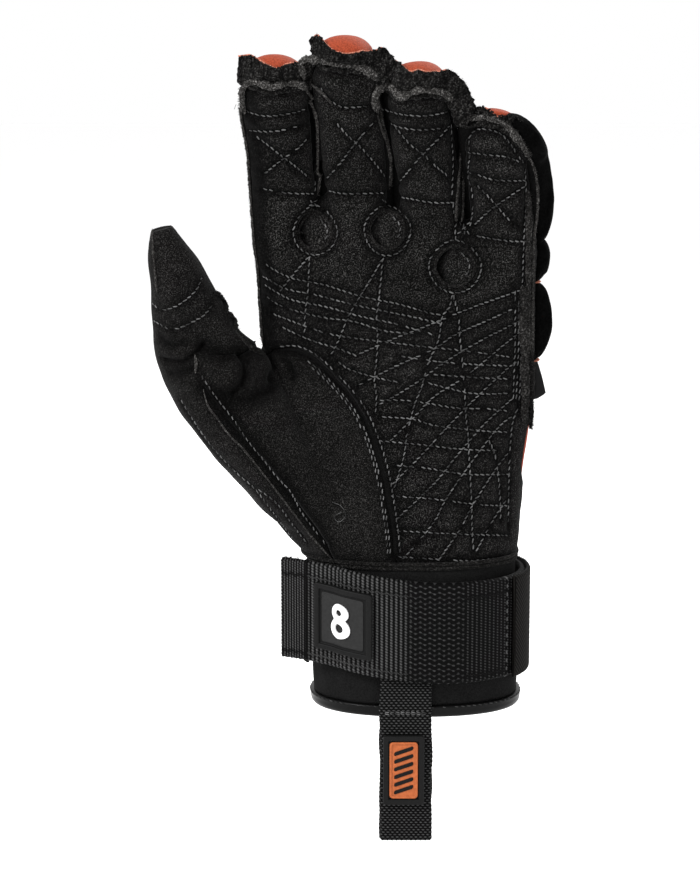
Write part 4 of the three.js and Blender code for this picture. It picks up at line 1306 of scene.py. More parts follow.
MATERIALS = {
    "suede": suede("suede", 0.0035, 0.086, grain=2300, worn=True),
    "soft_suede": suede("soft_suede", 0.0045, 0.056, 0.4, 2500, worn=True),
    "gusset": cloth("side_cloth", grey(0.0025, 0.02), 1700, 0.00025),
    "thumb_back": suede("thumb_back_cloth", 0.004, 0.034, 0.4, 2500),
    "pad": cloth("pad_cloth", grey(0.0016), 1300, 0.00015, 0.6, specular=0.004),
    "flap": suede("flap_cloth", 0.007, 0.046, 0.8, 1500),
    "tip_flap": suede("tip_flap_cloth", 0.007, 0.075, 0.8, 1500, worn=True),
    "fuzz": suede("fuzz", 0.036, 0.25, 1.0, 1600),
    "thin_edge": suede("thin_edge", 0.03, 0.14, 1.0, 1700),
    "orange": cloth(
        "orange_cloth", (0.245, 0.044, 0.020), 1900, 0.0002, 0.6, 0.03, (0.72, 1.28),
    ),
    "orange_edge": cloth("orange_edge", (0.40, 0.15, 0.10), 1500, 0.0001, 0.8),
    "raw_band": suede("raw_band", 0.016, 0.105, 0.8, 1500),
    "thread": thread_cloth("thread", grey(0.014), grey(0.112)),
    "dark_thread": thread_cloth("dark_thread", grey(0.006), grey(0.035)),
    "orange_thread": thread_cloth("orange_thread", (0.13, 0.03, 0.015), (0.34, 0.1, 0.05)),
    "neoprene": cloth("neoprene", grey(0.006), 2100, 0.0001),
    "binding": plain_rubber("binding", grey(0.003), 0.3, 1100),
    "webbing": woven("webbing", grey(0.001), grey(0.07)),
    "side_webbing": woven("side_webbing", grey(0.0005, 0.1), grey(0.013, 0.1)),
    "tab_webbing": woven("tab_webbing", grey(0.0005), grey(0.05)),
    "rubber": plain_rubber("rubber", grey(0.018), 0.6),
    "frame": plain_rubber("frame_rubber", grey(0.006), 0.5),
    "bar": plain_rubber("bar_rubber", grey(0.005), 0.6),
    "white": plain_rubber("white_rubber", grey(0.80), 0.5),
    "label": plain_rubber("orange_rubber", (0.36, 0.095, 0.032), 0.55),
    "relief": plain_rubber("dark_relief", grey(0.006), 0.6),
}


# A finished piece of the glove from vertices and faces. One that stands for a solid of the
# same name is given with stands_for; the values are the mesh's own, for its material.
def piece(name, verts, faces, material, stands_for=False, **values):
    replaces = [name] if stands_for else []
    if stands_for:
        name += FINE
    mesh = bpy.data.meshes.new(name)
    co = (np.asarray(verts, float) - [0, 0, RIM]) * MM
    if isinstance(faces, np.ndarray):
        sides = faces.shape[1]
        mesh.vertices.add(len(co))
        mesh.vertices.foreach_set("co", co.astype(np.float32).ravel())
        mesh.loops.add(faces.size)
        mesh.loops.foreach_set("vertex_index", faces.astype(np.int32).ravel())
        mesh.polygons.add(len(faces))
        mesh.polygons.foreach_set("loop_start", np.arange(0, faces.size, sides, dtype=np.int32))
        mesh.polygons.foreach_set("loop_total", np.full(len(faces), sides, np.int32))
        mesh.update(calc_edges=True)
    else:
        mesh.from_pydata(co.tolist(), [], faces)
    mesh.validate()
    mesh.polygons.foreach_set("use_smooth", np.ones(len(mesh.polygons), bool))
    for key, value in values.items():
        layer = mesh.attributes.new(key, "FLOAT", "POINT")
        layer.data.foreach_set("value", np.asarray(value, np.float32))
    made = new_object(name, mesh)
    mesh.materials.append(MATERIALS[material])
    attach(made, "root")
    if replaces:
        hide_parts(*replaces)
    return made


# The whole glove's surface, and the panel that each of its faces belongs to
hand_count, hand_sides = HAND_MESH
base_verts, base_quads = skin([
    loft(hand_rings(np.linspace(RIM, HAND[-1][0], hand_count), 0, hand_sides)),
    loft(thumb_rings()),
    *[loft(finger.rings()) for finger in fingers],
])
base_verts = relax(base_verts, edges_of(base_quads), BASE_ROUNDS)
base_middles = base_verts[base_quads].mean(1)
base_region = settled_regions(base_verts, base_quads)


# Which faces of the glove's front lie within a radius of a keyhole's middle
def in_keyhole(x, z, radius):
    near = np.hypot(base_middles[:, 0] - x, base_middles[:, 2] - z) < radius
    return near & (base_middles[:, 1] < KEYHOLE_BACK)


for _, keyhole_x, keyhole_z in KEYHOLES:
    base_region[in_keyhole(keyhole_x, keyhole_z, KEYHOLE_RADIUS)] = HOLE


# The chosen faces of the whole surface, as a sheet with a smooth edge
def cut_out(chosen):
    used, inverse = np.unique(base_quads[chosen], return_inverse=True)
    sheet = Sheet(base_verts[used], inverse.reshape(-1, 4))
    sheet.smooth_edge()
    return sheet


# A surface to put points of the photograph on
class Surface:
    def __init__(self, verts, quads):
        self.tree = BVHTree.FromPolygons(verts.tolist(), quads)

    # The point that a pixel shows, and the surface's direction there
    def hit(self, pixel):
        place, normal, _, _ = self.tree.ray_cast(Vector(EYE), Vector(sight(pixel)))
        if place is None:
            return None
        normal = np.array(normal)
        if normal @ sight(pixel) > 0:
            normal = -normal
        return np.array(place), normal

    # As hit, but beside the outline the point of the sight line nearest the surface
    def near(self, pixel):
        found = self.hit(pixel)
        if found is not None:
            return found
        tries = [at_depth(pixel, y) for y in np.linspace(*NEAR_DEPTHS)]
        best = min(tries, key=lambda p: self.tree.find_nearest(Vector(p))[3])
        normal = np.array(self.tree.find_nearest(Vector(best))[1])
        return best, unit(normal)

    # Points and directions at even steps along a line of pixels, evened out
    def line(self, pixels, step, rounds=0, beside=False):
        found = [
            self.near(pixel) if beside else self.hit(pixel)
            for pixel in smooth_line(pixels, PIXEL_STEP)
        ]
        both = even(np.array([np.concatenate(pair) for pair in found if pair]), step)
        places, normals = both[:, :3], unit(both[:, 3:])
        if rounds:
            places, normals = even_out(places, rounds), unit(even_out(normals, rounds))
        return places, normals


def surface_of(sheets):
    return Surface(*join([(sheet.verts, sheet.quads) for sheet in sheets]))


base = Surface(base_verts, base_quads.tolist())


# A line of pixels moved to the right of the way it runs in the picture
def beside_line(pixels, offset):
    points = smooth_line(pixels, 6)
    along = unit(np.gradient(points, axis=0))
    return points + np.stack([-along[:, 1], along[:, 0]], 1) * offset


# Stitched teardrop round a keyhole, from its extreme points, and smaller ones in it
def teardrop(left, top, right, bottom, shrink=0.0):
    middle = (np.array(left) + right) / 2
    half = (right[0] - left[0]) / 2
    places = []
    for turn in np.linspace(0, 2 * np.pi, 40, endpoint=False):
        s, c = math.sin(turn), math.cos(turn)
        up = (middle[1] - top[1]) if c > 0 else (bottom[1] - middle[1])
        wide = half * s * (1 - 0.28 * max(0, c) ** 1.5)
        lean = (top[0] - middle[0]) * max(0, c) ** 2
        places.append((middle[0] + wide + lean, middle[1] - up * c))
    places.append(places[0])
    return middle + (np.array(places) - middle) * (1 - shrink)


# Points of lines of pixels on the whole surface
def on_base(lines):
    return np.vstack([base.line(pixels, 1.0)[0] for pixels in lines])


RINGS = [teardrop(*corners) for corners in KEYHOLE_RINGS]
quilt_points = on_base([*PALM_ROWS, *RINGS, *FINGER_EDGES])
row_points = on_base([beside_line(PALM_SEAM_PIXELS, -SEAM_ROW), *THENAR_ROWS, *THUMB_ROWS])
fold_points = [on_base([pixels]) for pixels, _, _ in SOFT_FOLDS]
main_seam = on_base([PALM_SEAM_PIXELS])


# The left side of the palm and the index finger, at heights
def left_edge(z):
    hand = hand_rows(np.minimum(z, HAND[-1][0]))[:, 0]
    return lerp(hand, fingers[0].side(-1, z), smoothstep(z, *LEFT_BLEND))


# Half way between a finger and the one beside it, at heights
def half_way(k, z):
    return (fingers[k].side(1, z) + fingers[k + 1].side(-1, z)) / 2


# Swells the walls between two fingers until they nearly touch
def fill_gap(sheet, wall):
    k = wall - 1
    if k < 0 or k > 2:
        return
    x, _, z = sheet.verts.T
    free = smoothstep(sheet.edge_distance(), *GAP_EDGE) * smoothstep(z, *GAP_HEIGHTS)
    side = np.where(x < half_way(k, z), -1, 1)
    room = half_way(k, z) + side * TOUCH - x
    sheet.verts[:, 0] += np.clip(room, -GAP_REACH, GAP_REACH) * free
    sheet.normals = normals_of(sheet.verts, sheet.quads)


# Distance from the panel's edge, the keyholes' edges left out
def outer_distance(sheet):
    rim = sheet.verts[sheet.edge]
    for _, x, z in KEYHOLES:
        rim = rim[np.hypot(rim[:, 0] - x, rim[:, 2] - z) > KEYHOLE_RADIUS + 2]
    return nearest(rim, sheet.verts)


# Relief of the quilted palm, and its painted shade: darker along its edges, quilting lines
# and main seam, lighter on the cushions between them, and darker towards its left side
def palm_relief(sheet):
    x, _, z = sheet.verts.T
    near = nearest(quilt_points, sheet.verts)
    seam = nearest(main_seam, sheet.verts)
    relief = groove(near, *QUILT_GROOVE) + CUSHION * (1 - bell(near, CUSHION_WIDTH))
    relief += groove(seam, *SEAM_GROOVE) + 0.1 * waves(sheet.verts, 5, seed=8)
    worn = 1 - bell(outer_distance(sheet), EDGE_SHADE_WIDTH)
    worn = worn * lerp(DEEPEST_SHADE, 1, 1 - bell(near, QUILT_SHADE_WIDTH))
    worn = worn * (1 - 0.8 * bell(seam, SEAM_SHADE_WIDTH))
    return relief, worn * lerp(DEEPEST_SHADE, 1, smoothstep(x - left_edge(z), *LEFT_SIDE))


# Relief and painted shade of the soft panels over the thumb and its ball, one field for
# both: the shade darkens them along their edges, rows of stitches, main seam and folds
def soft_relief(sheet, edge):
    near = nearest(row_points, sheet.verts)
    seam = nearest(main_seam, sheet.verts)
    relief = groove(near, *ROW_GROOVE) + groove(seam, *SEAM_GROOVE)
    relief += 0.4 * waves(sheet.verts, 24, seed=5)
    worn = 1 - bell(edge, EDGE_SHADE_WIDTH)
    worn = worn * (1 - 0.6 * bell(np.minimum(near, seam), ROW_SHADE_WIDTH))
    for points, (_, depth, width) in zip(fold_points, SOFT_FOLDS):
        fold = nearest(points, sheet.verts)
        relief += groove(fold, depth, width)
        worn = worn * (1 - 0.85 * bell(fold, width * 1.15))
    return relief, worn


# Flex folds over the knuckles of the back, and its domed tips
def back_relief(verts):
    relief = np.zeros(len(verts))
    for finger, rise in zip(fingers, DOME_RISE):
        along, across, depth, _ = finger.local(verts)
        own = np.abs(across) < FINGER_HALF
        near_tip = smoothstep(along, finger.length - 10, finger.length - 2)
        relief += np.where(own, rise * near_tip, 0)
        for place in KNUCKLES:
            offset = along - place * finger.length
            folds = 0.5 + 0.5 * np.cos(offset * 2 * np.pi / KNUCKLE_PITCH)
            near = bell(offset, KNUCKLE_PITCH * 1.4)
            relief += np.where(own & (depth > 0), KNUCKLE_RISE * folds * near, 0)
    return relief + 0.35 * waves(verts, 30, seed=9)


def make_panels():
    sheets = []
    for region in range(SLEEVE):
        sheet = cut_out(base_region == region)
        edge = sheet.edge_distance()
        relief = 0
        # Painted shade: darker near the panel's edge
        worn = 1 - bell(edge, EDGE_SHADE_WIDTH)
        if region == PALM:
            relief, worn = palm_relief(sheet)
        elif region in (THENAR, THUMB_FRONT):
            hidden = smoothstep(sheet.verts[:, 2], *SOFT_SEAM_FROM) * (
                1 - smoothstep(sheet.verts[:, 0], *SOFT_SEAM_TO)
            )
            edge = edge + 8 * hidden
            relief, worn = soft_relief(sheet, edge)
        elif region == BACK:
            relief = back_relief(sheet.verts)
        elif region >= FIRST_WALL:
            relief = 0.25 * waves(sheet.verts, 9, seed=region)
        sheet.swell(relief + groove(edge, *EDGE_GROOVE) + 0.12 * waves(sheet.verts, 14))
        if region >= FIRST_WALL:
            fill_gap(sheet, region - FIRST_WALL)
        piece(
            REGIONS[region], *sheet.thick(WALL), PANEL_MATERIALS.get(region, "gusset"), True,
            worn=np.tile(worn, 2),
        )
        sheets.append(sheet)
    return sheets


# Inserts of the keyholes, sunk at their left side, with painted shade in that sunk crescent
# and towards their rim
def make_keyholes():
    sheets = []
    for name, x, z in KEYHOLES:
        sheet = cut_out(in_keyhole(x, z, KEYHOLE_RADIUS + KEYHOLE_UNDER))
        left = (x - sheet.verts[:, 0]) / KEYHOLE_RADIUS
        out = np.hypot(sheet.verts[:, 0] - x, sheet.verts[:, 2] - z) / KEYHOLE_RADIUS
        sunk = smoothstep(left, 0.1, 0.7) * smoothstep(out, 0.4, 0.75)
        under = smoothstep(out, 0.92, 1.05)
        sheet.swell(
            0.75 * (1 - smoothstep(out, 0.1, 0.95)) - 0.1 - 1.5 * sunk - 0.9 * under
            + 0.12 * waves(sheet.verts, 4)
        )
        # Painted shade: darker in the sunk crescent and towards the rim
        worn = (1 - 0.92 * sunk) * (1 - 0.6 * smoothstep(out, 0.72, 0.95))
        piece(
            name + "_keyhole", *sheet.thick(KEYHOLE_WALL), "suede", True,
            worn=np.tile(worn, 2),
        )
        sheets.append(sheet)
    return sheets


# A closed body along a line: section gives its points sideways and out, and may differ
# from place to place; grow scales it at each place
def sweep(places, normals, section, grow=None):
    along = unit(np.gradient(places, axis=0))
    side = unit(np.cross(along, normals))
    out = np.cross(side, along)
    section = np.asarray(section, float)
    rings = []
    for k in range(len(places)):
        shape = section if section.ndim == 2 else section[k]
        scale = 1 if grow is None else grow[k]
        rings.append(
            places[k] + scale * (shape[:, :1] * side[k] + shape[:, 1:] * out[k])
        )
    return loft(rings)


def oval(across, out, sides, lift=0.0):
    turn = 2 * np.pi * np.arange(sides) / sides
    return np.stack([np.cos(turn) * across, np.sin(turn) * out + lift], 1)


# Small closed bodies from one pattern, all in one mesh
def many(pattern_verts, pattern_faces, frames):
    count = len(pattern_verts)
    verts = np.einsum("nij,kj->nki", frames[:, :, :3], pattern_verts) + frames[:, None, :, 3]
    faces = []
    pattern_faces = outward(verts[0], pattern_faces)
    for n in range(len(frames)):
        faces += [[n * count + k for k in face] for face in pattern_faces]
    return verts.reshape(-1, 3), faces


def frames_at(places, along, out, size):
    along = unit(along)
    side = unit(np.cross(along, out))
    up = np.cross(side, along)
    return np.stack(
        [along * size[:, :1], side * size[:, 1:2], up * size[:, 2:3], places], 2
    )


# One stitch, one long and lying along X, its ends sunk into the cloth
def stitch_pattern():
    turn = 2 * np.pi * np.arange(6) / 6
    return loft([
        np.stack([np.full(6, x), np.cos(turn) * scale, np.sin(turn) * scale + lift], 1)
        for x, scale, lift in STITCH_SECTIONS
    ])


STITCH = stitch_pattern()


# Places and sizes of the stitches between the places of a row, a few of them missing
def stitches(places, normals, length=STITCH_LENGTH, radius=STITCH_RADIUS):
    middle = (places[1:] + places[:-1]) / 2
    along = unit(places[1:] - places[:-1])
    out = unit(normals[1:] + normals[:-1])
    count = len(middle)
    sizes = np.stack([
        length * rng.uniform(*STITCH_LENGTHS, count),
        radius * rng.uniform(*STITCH_WIDTHS, count),
        radius * rng.uniform(*STITCH_WIDTHS, count),
    ], 1)
    wander = rng.normal(0, STITCH_WANDER, (count, 3))
    along = along - STITCH_SLANT * np.cross(out, along) + wander
    keep = rng.uniform(size=count) > STITCHES_MISSING
    return frames_at(middle + out * radius * STITCH_LIFT, along, out, sizes)[keep]


def sew(name, rows, material):
    piece(name, *many(*STITCH, np.vstack(rows)), material)


def make_stitches(name, surface, lines):
    rows = [surface.line(pixels, STITCH_PITCH) for pixels in lines]
    sew(name, [stitches(*row) for row in rows if len(row[0]) > 2], "thread")


# Points of a sheet at a distance from its edge, in lines, with their directions
def inset_lines(sheet, inset, low, high, front):
    edge = sheet.edge_distance()
    pairs = edges_of(sheet.quads)
    a, b = edge[pairs].T
    pairs = pairs[(a - inset) * (b - inset) < 0]
    a, b = edge[pairs].T
    share = ((inset - a) / (b - a))[:, None]
    both = np.hstack([sheet.verts, sheet.normals])
    both = lerp(both[pairs[:, 0]], both[pairs[:, 1]], share)
    both = both[(both[:, 2] > low) & (both[:, 2] < high) & (both[:, 1] > front)]
    lines = []
    while len(both):
        line = [both[np.argmin(both[:, 2])]]
        while len(both):
            away = np.linalg.norm(both[:, :3] - line[-1][:3], axis=1)
            nearest_one = np.argmin(away)
            if away[nearest_one] > JUMP:
                break
            line.append(both[nearest_one])
            both = both[away > CLEAR]
        lines.append(np.array(line))
    return [line for line in lines if len(line) > SHORTEST_LINE]


def make_back_stitches(sheet):
    rows = []
    for inset in BACK_ROWS:
        for line in inset_lines(sheet, inset, *BACK_ROW_RANGE):
            line = even(even_out(line, 10), STITCH_PITCH)
            rows.append(stitches(line[:, :3], unit(line[:, 3:])))
    sew("back_stitches", rows, "orange_thread")


# Hairs that stand from points, pointing away from the cloth
def hairs(places, out, spread, length, thickness):
    count = len(places)
    along = unit(out) + rng.normal(0, spread, (count, 3))
    size = np.stack([
        rng.uniform(*length, count), np.full(count, thickness), np.full(count, thickness),
    ], 1)
    frames = frames_at(places, along, rng.normal(size=(count, 3)), size)
    return many(HAIR_VERTS, HAIR_FACES, frames)


# Raw fuzzy edge along a line: a rounded ridge with uneven sides and short hairs
def raw_edge(places, normals, width, height, hair_count, hair_length):
    count = len(places)
    base_oval = oval(width / 2, height / 2, RAW_SIDES, height * 0.25)
    lumps = waves(places, 4.5, seed=count)[:, None, None]
    rough = 1 + RAW_ROUGH * rng.normal(size=(count, RAW_SIDES, 1)) + RAW_ROUGH * lumps
    ends = smoothstep(np.minimum(np.arange(count), np.arange(count)[::-1]), -1, 5)
    ridge = sweep(places, normals, base_oval * rough, 0.35 + 0.65 * ends)
    k = rng.integers(1, count - 1, hair_count)
    along = unit(np.gradient(places, axis=0))[k]
    side = np.cross(along, normals[k]) * rng.uniform(-0.5, 0.5, (hair_count, 1)) * width
    foot = places[k] + side + normals[k] * height * 0.5
    fuzz = hairs(foot, normals[k] + side, HAIR_SPREAD, hair_length, RAW_HAIR)
    return join([ridge, fuzz])


# Cloth that stands from the finger out to a raw edge
def flange(places, thickness):
    foot = np.array([base.tree.find_nearest(Vector(p))[0] for p in places])
    foot = even_out(foot, 3)
    along = unit(np.gradient(places, axis=0))
    reach = places - foot
    length = np.linalg.norm(reach, axis=1, keepdims=True)
    out = np.where(length > 0.2, reach / np.maximum(length, 1e-6), -BACKWARD)
    side = unit(np.cross(along, out)) * thickness / 2
    low = foot - out * 0.6
    high = places + out * 0.1
    middle = lerp(low, high, 0.5)
    return loft(np.stack([
        low - side, middle - side, high - side * 0.8, high + out * 0.25,
        high + side * 0.8, middle + side, low + side,
    ], 1))


# The fuzzy lips of the fingers' fronts, the thin raw edges down their sides, and the cloth
# that carries both
def make_raw_edges(surface):
    for name, lip in LIPS.items():
        places, normals = surface.line(lip, LIP_STEP, 6, beside=True)
        lift = 0.5 * normals + [0, -0.3, 0.1]
        fuzzy = raw_edge(
            places + lift, normals, LIP_WIDTHS[name], LIP_HEIGHT, LIP_HAIRS, (0.4, 1.1),
        )
        piece(name + "_raw_edge", *fuzzy, "fuzz", True)
        flanges = [flange(places, LIP_FLANGE)]
        thin = []
        for pixels, width in THIN_EDGES[name]:
            places, normals = surface.line(pixels, EDGE_STEP, 12, beside=True)
            places = places + 0.3 * normals + [0, -0.25, 0]
            flanges.append(flange(places, width))
            thin.append(
                raw_edge(places, normals, width, 1.0, len(places) * 5, (0.3, 0.85))
            )
        piece(name + "_seam_flange", *join(flanges), "gusset")
        piece(name + "_thin_edge", *join(thin), "thin_edge")


def make_frays(surface):
    for name, (material, rounds, lift, hair_length, lines) in FRAYS.items():
        parts = []
        for pixels, width, height, hair_count in lines:
            places, normals = surface.line(pixels, EDGE_STEP, rounds, beside=True)
            places = places + lift * normals
            hair_count = hair_count or len(places) * 2
            parts.append(raw_edge(places, normals, width, height, hair_count, hair_length))
        piece(name, *join(parts), material)


# Dark cloth under the seam round the ball of the thumb
def make_seam_backing():
    places, normals = base.line([*SEAM_BACKING, *PALM_SEAM_PIXELS], 0.8)
    backing = sweep(places - normals * WALL, normals, oval(2.4, 0.7, 8))
    piece("seam_backing", *backing, "gusset")


# A flap's grid of points in front of the finger tip, from its lower to its upper line, and
# how far each point stands on the ridge of a fold, for the painted highlight on the crests
def flap_grid(name, surface, top, bottom):
    rows, across = FLAP_MESH
    depth = fingers[NAMES.index(name)].centre[-1][1] - FLAP_FORWARD
    middle = (top[0][0] + top[-1][0]) / 2
    half = (top[-1][0] - top[0][0]) / 2
    upper = even(smooth_line(top, 0.5), count=across)
    lower = even(smooth_line(bottom, 0.5), count=across) + [0, FLAP_BEHIND]
    upper = upper + rng.normal(0, FLAP_RAGGED, upper.shape)
    grid = np.zeros((rows, across, 3))
    ridge = np.zeros((rows, across))
    for r in range(rows):
        share = r / (rows - 1)
        for c in range(across):
            pixel = lerp(lower[c], upper[c], share)
            fold = abs(sum(
                size * math.sin(c * pitch + share * slant)
                for size, pitch, slant in FLAP_FOLDS
            ))
            y = depth + FLAP_TURN * ((pixel[0] - middle) / half) ** 2
            found = surface.hit(pixel)
            if found is not None:
                y = min(y, found[0][1] - FLAP_OFF * (1 + 0.5 * bulge(share, 1)))
            grid[r, c] = at_depth(pixel, y - FLAP_CRUMPLE * fold * share)
            # Painted highlight and shade: lighter on the fold crests, darker in the hollows
            ridge[r, c] = 0.3 + 0.7 * smoothstep(fold, 0.1, 0.9)
    for _ in range(2):
        inner = (grid[:-2, 1:-1] + grid[2:, 1:-1] + grid[1:-1, :-2] + grid[1:-1, 2:]) / 4
        grid[1:-1, 1:-1] = inner
    return grid, ridge


# A flap with its fringe of hairs, and the orange edge behind a share of its upper line
def make_flap(name, surface, top, bottom, edged):
    grid, ridge = flap_grid(name, surface, top, bottom)
    verts, quads = grid.reshape(-1, 3), grid_quads(grid)
    rough = FLAP_ROUGH * rng.normal(size=(len(verts), 1))
    verts = verts + normals_of(verts, quads) * rough
    body = Sheet(verts, quads).thick(FLAP_WALL)
    top_line = grid[-1]
    across = len(top_line)
    rise = 0.1 + 0.2 * waves(top_line, 9, seed=across + len(name))
    edge = even_out(top_line, 2) + BACKWARD + rise[:, None] * SKYWARD
    edge = edge[int(edged[0] * across):int(edged[1] * across)]
    foot = top_line[rng.integers(0, across, FLAP_HAIRS)] + [0, 0.4, 0]
    out = np.tile([0, -0.2, 1.0], (FLAP_HAIRS, 1))
    fuzz = hairs(foot, out, HAIR_SPREAD, (0.25, 0.7), 0.1)
    # Painted highlight and shade of the folds; the hairs stay unshaded
    worn = np.concatenate([np.tile(ridge.ravel(), 2), np.ones(len(fuzz[0]))])
    piece(name + "_tip_flap", *join([body, fuzz]), "tip_flap", True, worn=worn)
    rim = sweep(edge, np.tile(SKYWARD, (len(edge), 1)), oval(0.4, 0.3, 8))
    piece(name + "_flap_edge", *rim, "orange_edge")


# Rolled edges of the cloth round the keyholes
def make_welts(surface):
    parts = []
    for corners in KEYHOLE_RINGS:
        places, normals = surface.line(teardrop(*corners, WELT_SHRINK), EDGE_STEP, 6)
        lumps = 1 + 0.25 * waves(places, 3.5, seed=len(places))
        parts.append(sweep(places, normals, oval(0.5, 0.5, 8), lumps))
    piece("keyhole_welts", *join(parts), "flap")


# Loose threads: thin tubes through a few pixels
def make_loose_threads(surface):
    parts = []
    for pixels in LOOSE_THREADS:
        places, normals = surface.line(pixels, 0.5, beside=True)
        parts.append(sweep(places + normals * 0.3, normals, oval(0.08, 0.08, 6)))
    piece("loose_threads", *join(parts), "thread")


# A pad's cover, held at its rim and a little loose, blown up as cloth. The cloth is worked
# out at ten times its size, and no point moves further than PUFF_LIMIT.
def blown_up(grid):
    verts, quads = grid.reshape(-1, 3), grid_quads(grid)
    k = np.arange(len(verts)).reshape(grid.shape[:2])
    rim = np.concatenate([k[0], k[-1], k[1:-1, 0], k[1:-1, -1]])
    mesh = bpy.data.meshes.new("cover")
    mesh.from_pydata((verts * PUFF_SCALE).tolist(), [], quads.tolist())
    cover = new_object("cover", mesh)
    cover.vertex_groups.new(name="rim").add(rim.tolist(), 1.0, "ADD")
    modifier = cover.modifiers.new("cloth", "CLOTH")
    settings = modifier.settings
    settings.vertex_group_mass = "rim"
    settings.quality = 6
    settings.mass = 0.3
    settings.tension_stiffness = 12
    settings.compression_stiffness = 12
    settings.shear_stiffness = 6
    settings.bending_stiffness = 4
    settings.use_pressure = True
    settings.uniform_pressure_force = PUFF_PRESSURE
    settings.shrink_min = -PUFF_SLACK
    settings.effector_weights.gravity = 0
    modifier.collision_settings.use_collision = False
    modifier.point_cache.frame_end = PUFF_FRAMES
    for step in range(1, PUFF_FRAMES + 1):
        bpy.context.scene.frame_set(step)
    _, co = evaluated(cover)
    bpy.data.objects.remove(cover)
    bpy.data.meshes.remove(mesh)
    bpy.context.scene.frame_set(1)
    move = co / PUFF_SCALE - verts
    far = np.linalg.norm(move, axis=1, keepdims=True)
    return Sheet(verts + move * np.minimum(1, PUFF_LIMIT / np.maximum(far, 1e-9)), quads)


def make_pad(name, grid):
    sheet = blown_up(np.array(grid))
    sheet.swell(0.1 * waves(sheet.verts, 9, seed=len(name)))
    made = piece(name, *sheet.thick(PAD_WALL), "pad", True)


# The two pads over the side of the hand, swollen forms from low to high
def make_side_pads():
    rows, across = PAD_MESH
    for name, low, high, swell in PADS:
        grid = []
        for v in np.linspace(0, 1, rows):
            line = []
            for u in np.linspace(0, 1, across):
                puff = bulge(v, 0.55) * bulge(u, PAD_FULLNESS)
                turn = math.radians(lerp(*PAD_TURNS, u))
                outset = PAD_EDGE + (swell - PAD_EDGE) * puff
                line.append(beside_hand(lerp(low, high, v), turn, outset))
            grid.append(line)
        make_pad(name, grid)


# The pad round the side of the little finger, up to its tip
def make_upper_pad():
    finger = fingers[-1]
    grid = []
    for distance, reach in smooth_line(UPPER_PAD, 1.1):
        k = finger.station(distance)
        near = 1 - min(1, (finger.length - distance) / TIP_ROUNDING)
        scale = math.sqrt(max(0, 1 - near**2))
        centre = finger.centre[k] + finger.along[k] * (distance - finger.at[k])
        inner = min(finger.width[k] * scale + PAD_EDGE, reach)
        end = smoothstep(distance, *UPPER_PAD_END)
        low, high = lerp(*UPPER_PAD_FRONT, end), lerp(*UPPER_PAD_BACK, end)
        line = []
        for u in np.linspace(0, 1, PAD_MESH[1]):
            turn = math.radians(lerp(low, high, u))
            half = lerp(inner, reach, bulge(u, PAD_FULLNESS))
            across = half * squarish(math.cos(turn))
            thick = lerp(0.8, 0.45, end) * (half - finger.width[k] * scale)
            deep = (finger.depth[k] * scale + thick) * squarish(math.sin(turn))
            line.append(centre + RIGHTWARD * across + finger.dorsal[k] * deep)
        grid.append(line)
    make_pad("side_pad_upper", grid)


# Edges of the orange back that show between the side pads
def make_pad_seams():
    parts = []
    for z, outset in PAD_SEAMS:
        turns = np.radians(np.linspace(-12, 60, 60))
        places = np.array([beside_hand(z, turn, outset) for turn in turns])
        out = unit(np.stack([np.cos(turns), np.sin(turns), 0 * turns], 1))
        parts.append(sweep(places, out, oval(0.22, 1.3, 8)))
    piece("pad_seam_edges", *join(parts), "orange_edge")


# The moulded bar across the knuckles, ribbed along its length
def make_bar():
    heights, prouds = np.array(BAR, float).T
    rows, across = BAR_MESH
    grid = []
    for z in np.linspace(heights[0], heights[-1], rows):
        proud = np.interp(z, heights, prouds)
        line = []
        for u in np.linspace(0, 1, across):
            outset = proud - 0.5 + 0.5 * math.cos(u * across * BAR_RIB)
            outset = BAR_END + (outset - BAR_END) * smoothstep(min(u, 1 - u), 0, 0.02)
            line.append(beside_hand(z, math.radians(lerp(*BAR_TURNS, u)), outset))
        grid.append(line)
    piece("knuckle_bar", *sheet_of(np.array(grid)).thick(0.35), "bar", True)


# A band's line in two directions, as points a step apart
class Path:
    def __init__(self, points):
        self.points = smooth_line(points, PATH_STEP)
        self.along = unit(np.gradient(self.points, axis=0))
        self.length = PATH_STEP * (len(self.points) - 1)

    # Both directions of points at distances along the line and out of it
    def places(self, along, out):
        at = np.clip(along / PATH_STEP, 0, len(self.points) - 1)
        k = np.arange(len(self.points))
        a, b = (np.interp(at, k, self.points[:, i]) for i in (0, 1))
        da, db = (np.interp(at, k, self.along[:, i]) for i in (0, 1))
        return a + db * out, b - da * out


# The strap's path in x and y, from its free end
def strap_path():
    points = [STRAP_END]
    for angle in range(STRAP_FROM, STRAP_TO + 1, STRAP_TURN):
        turn = math.radians(angle)
        outset = STRAP_SNUG + (STRAP_CLEARANCE - STRAP_SNUG) * max(0, -math.sin(turn)) ** 2
        points.append(beside_hand(STRAP_MIDDLE, turn, outset)[:2])
    return Path(points)


STRAP = strap_path()
TAB = Path(TAB_POINTS)


# Points on the strap: along it, up from its middle and out of its inner face
def on_strap(along, up, out):
    x, y = STRAP.places(along, out)
    share = along / STRAP.length
    z = STRAP_MIDDLE + STRAP_END_RISE * (1 - smoothstep(share, 0, 0.3))
    z = z + STRAP_BACK_RISE * smoothstep(share, 0.6, 1)
    return np.stack([x, y, z + up], 1)


# Points on the tab: along it, across it to the left and out of its middle
def on_tab(along, across, out):
    y, z = TAB.places(along, out)
    sway = 0.25 * np.sin(along * 0.21)
    wide = 1 + 0.012 * np.sin(along * 0.35)
    return np.stack([TAB_CENTRE_X + sway - across * wide, y, z], 1)


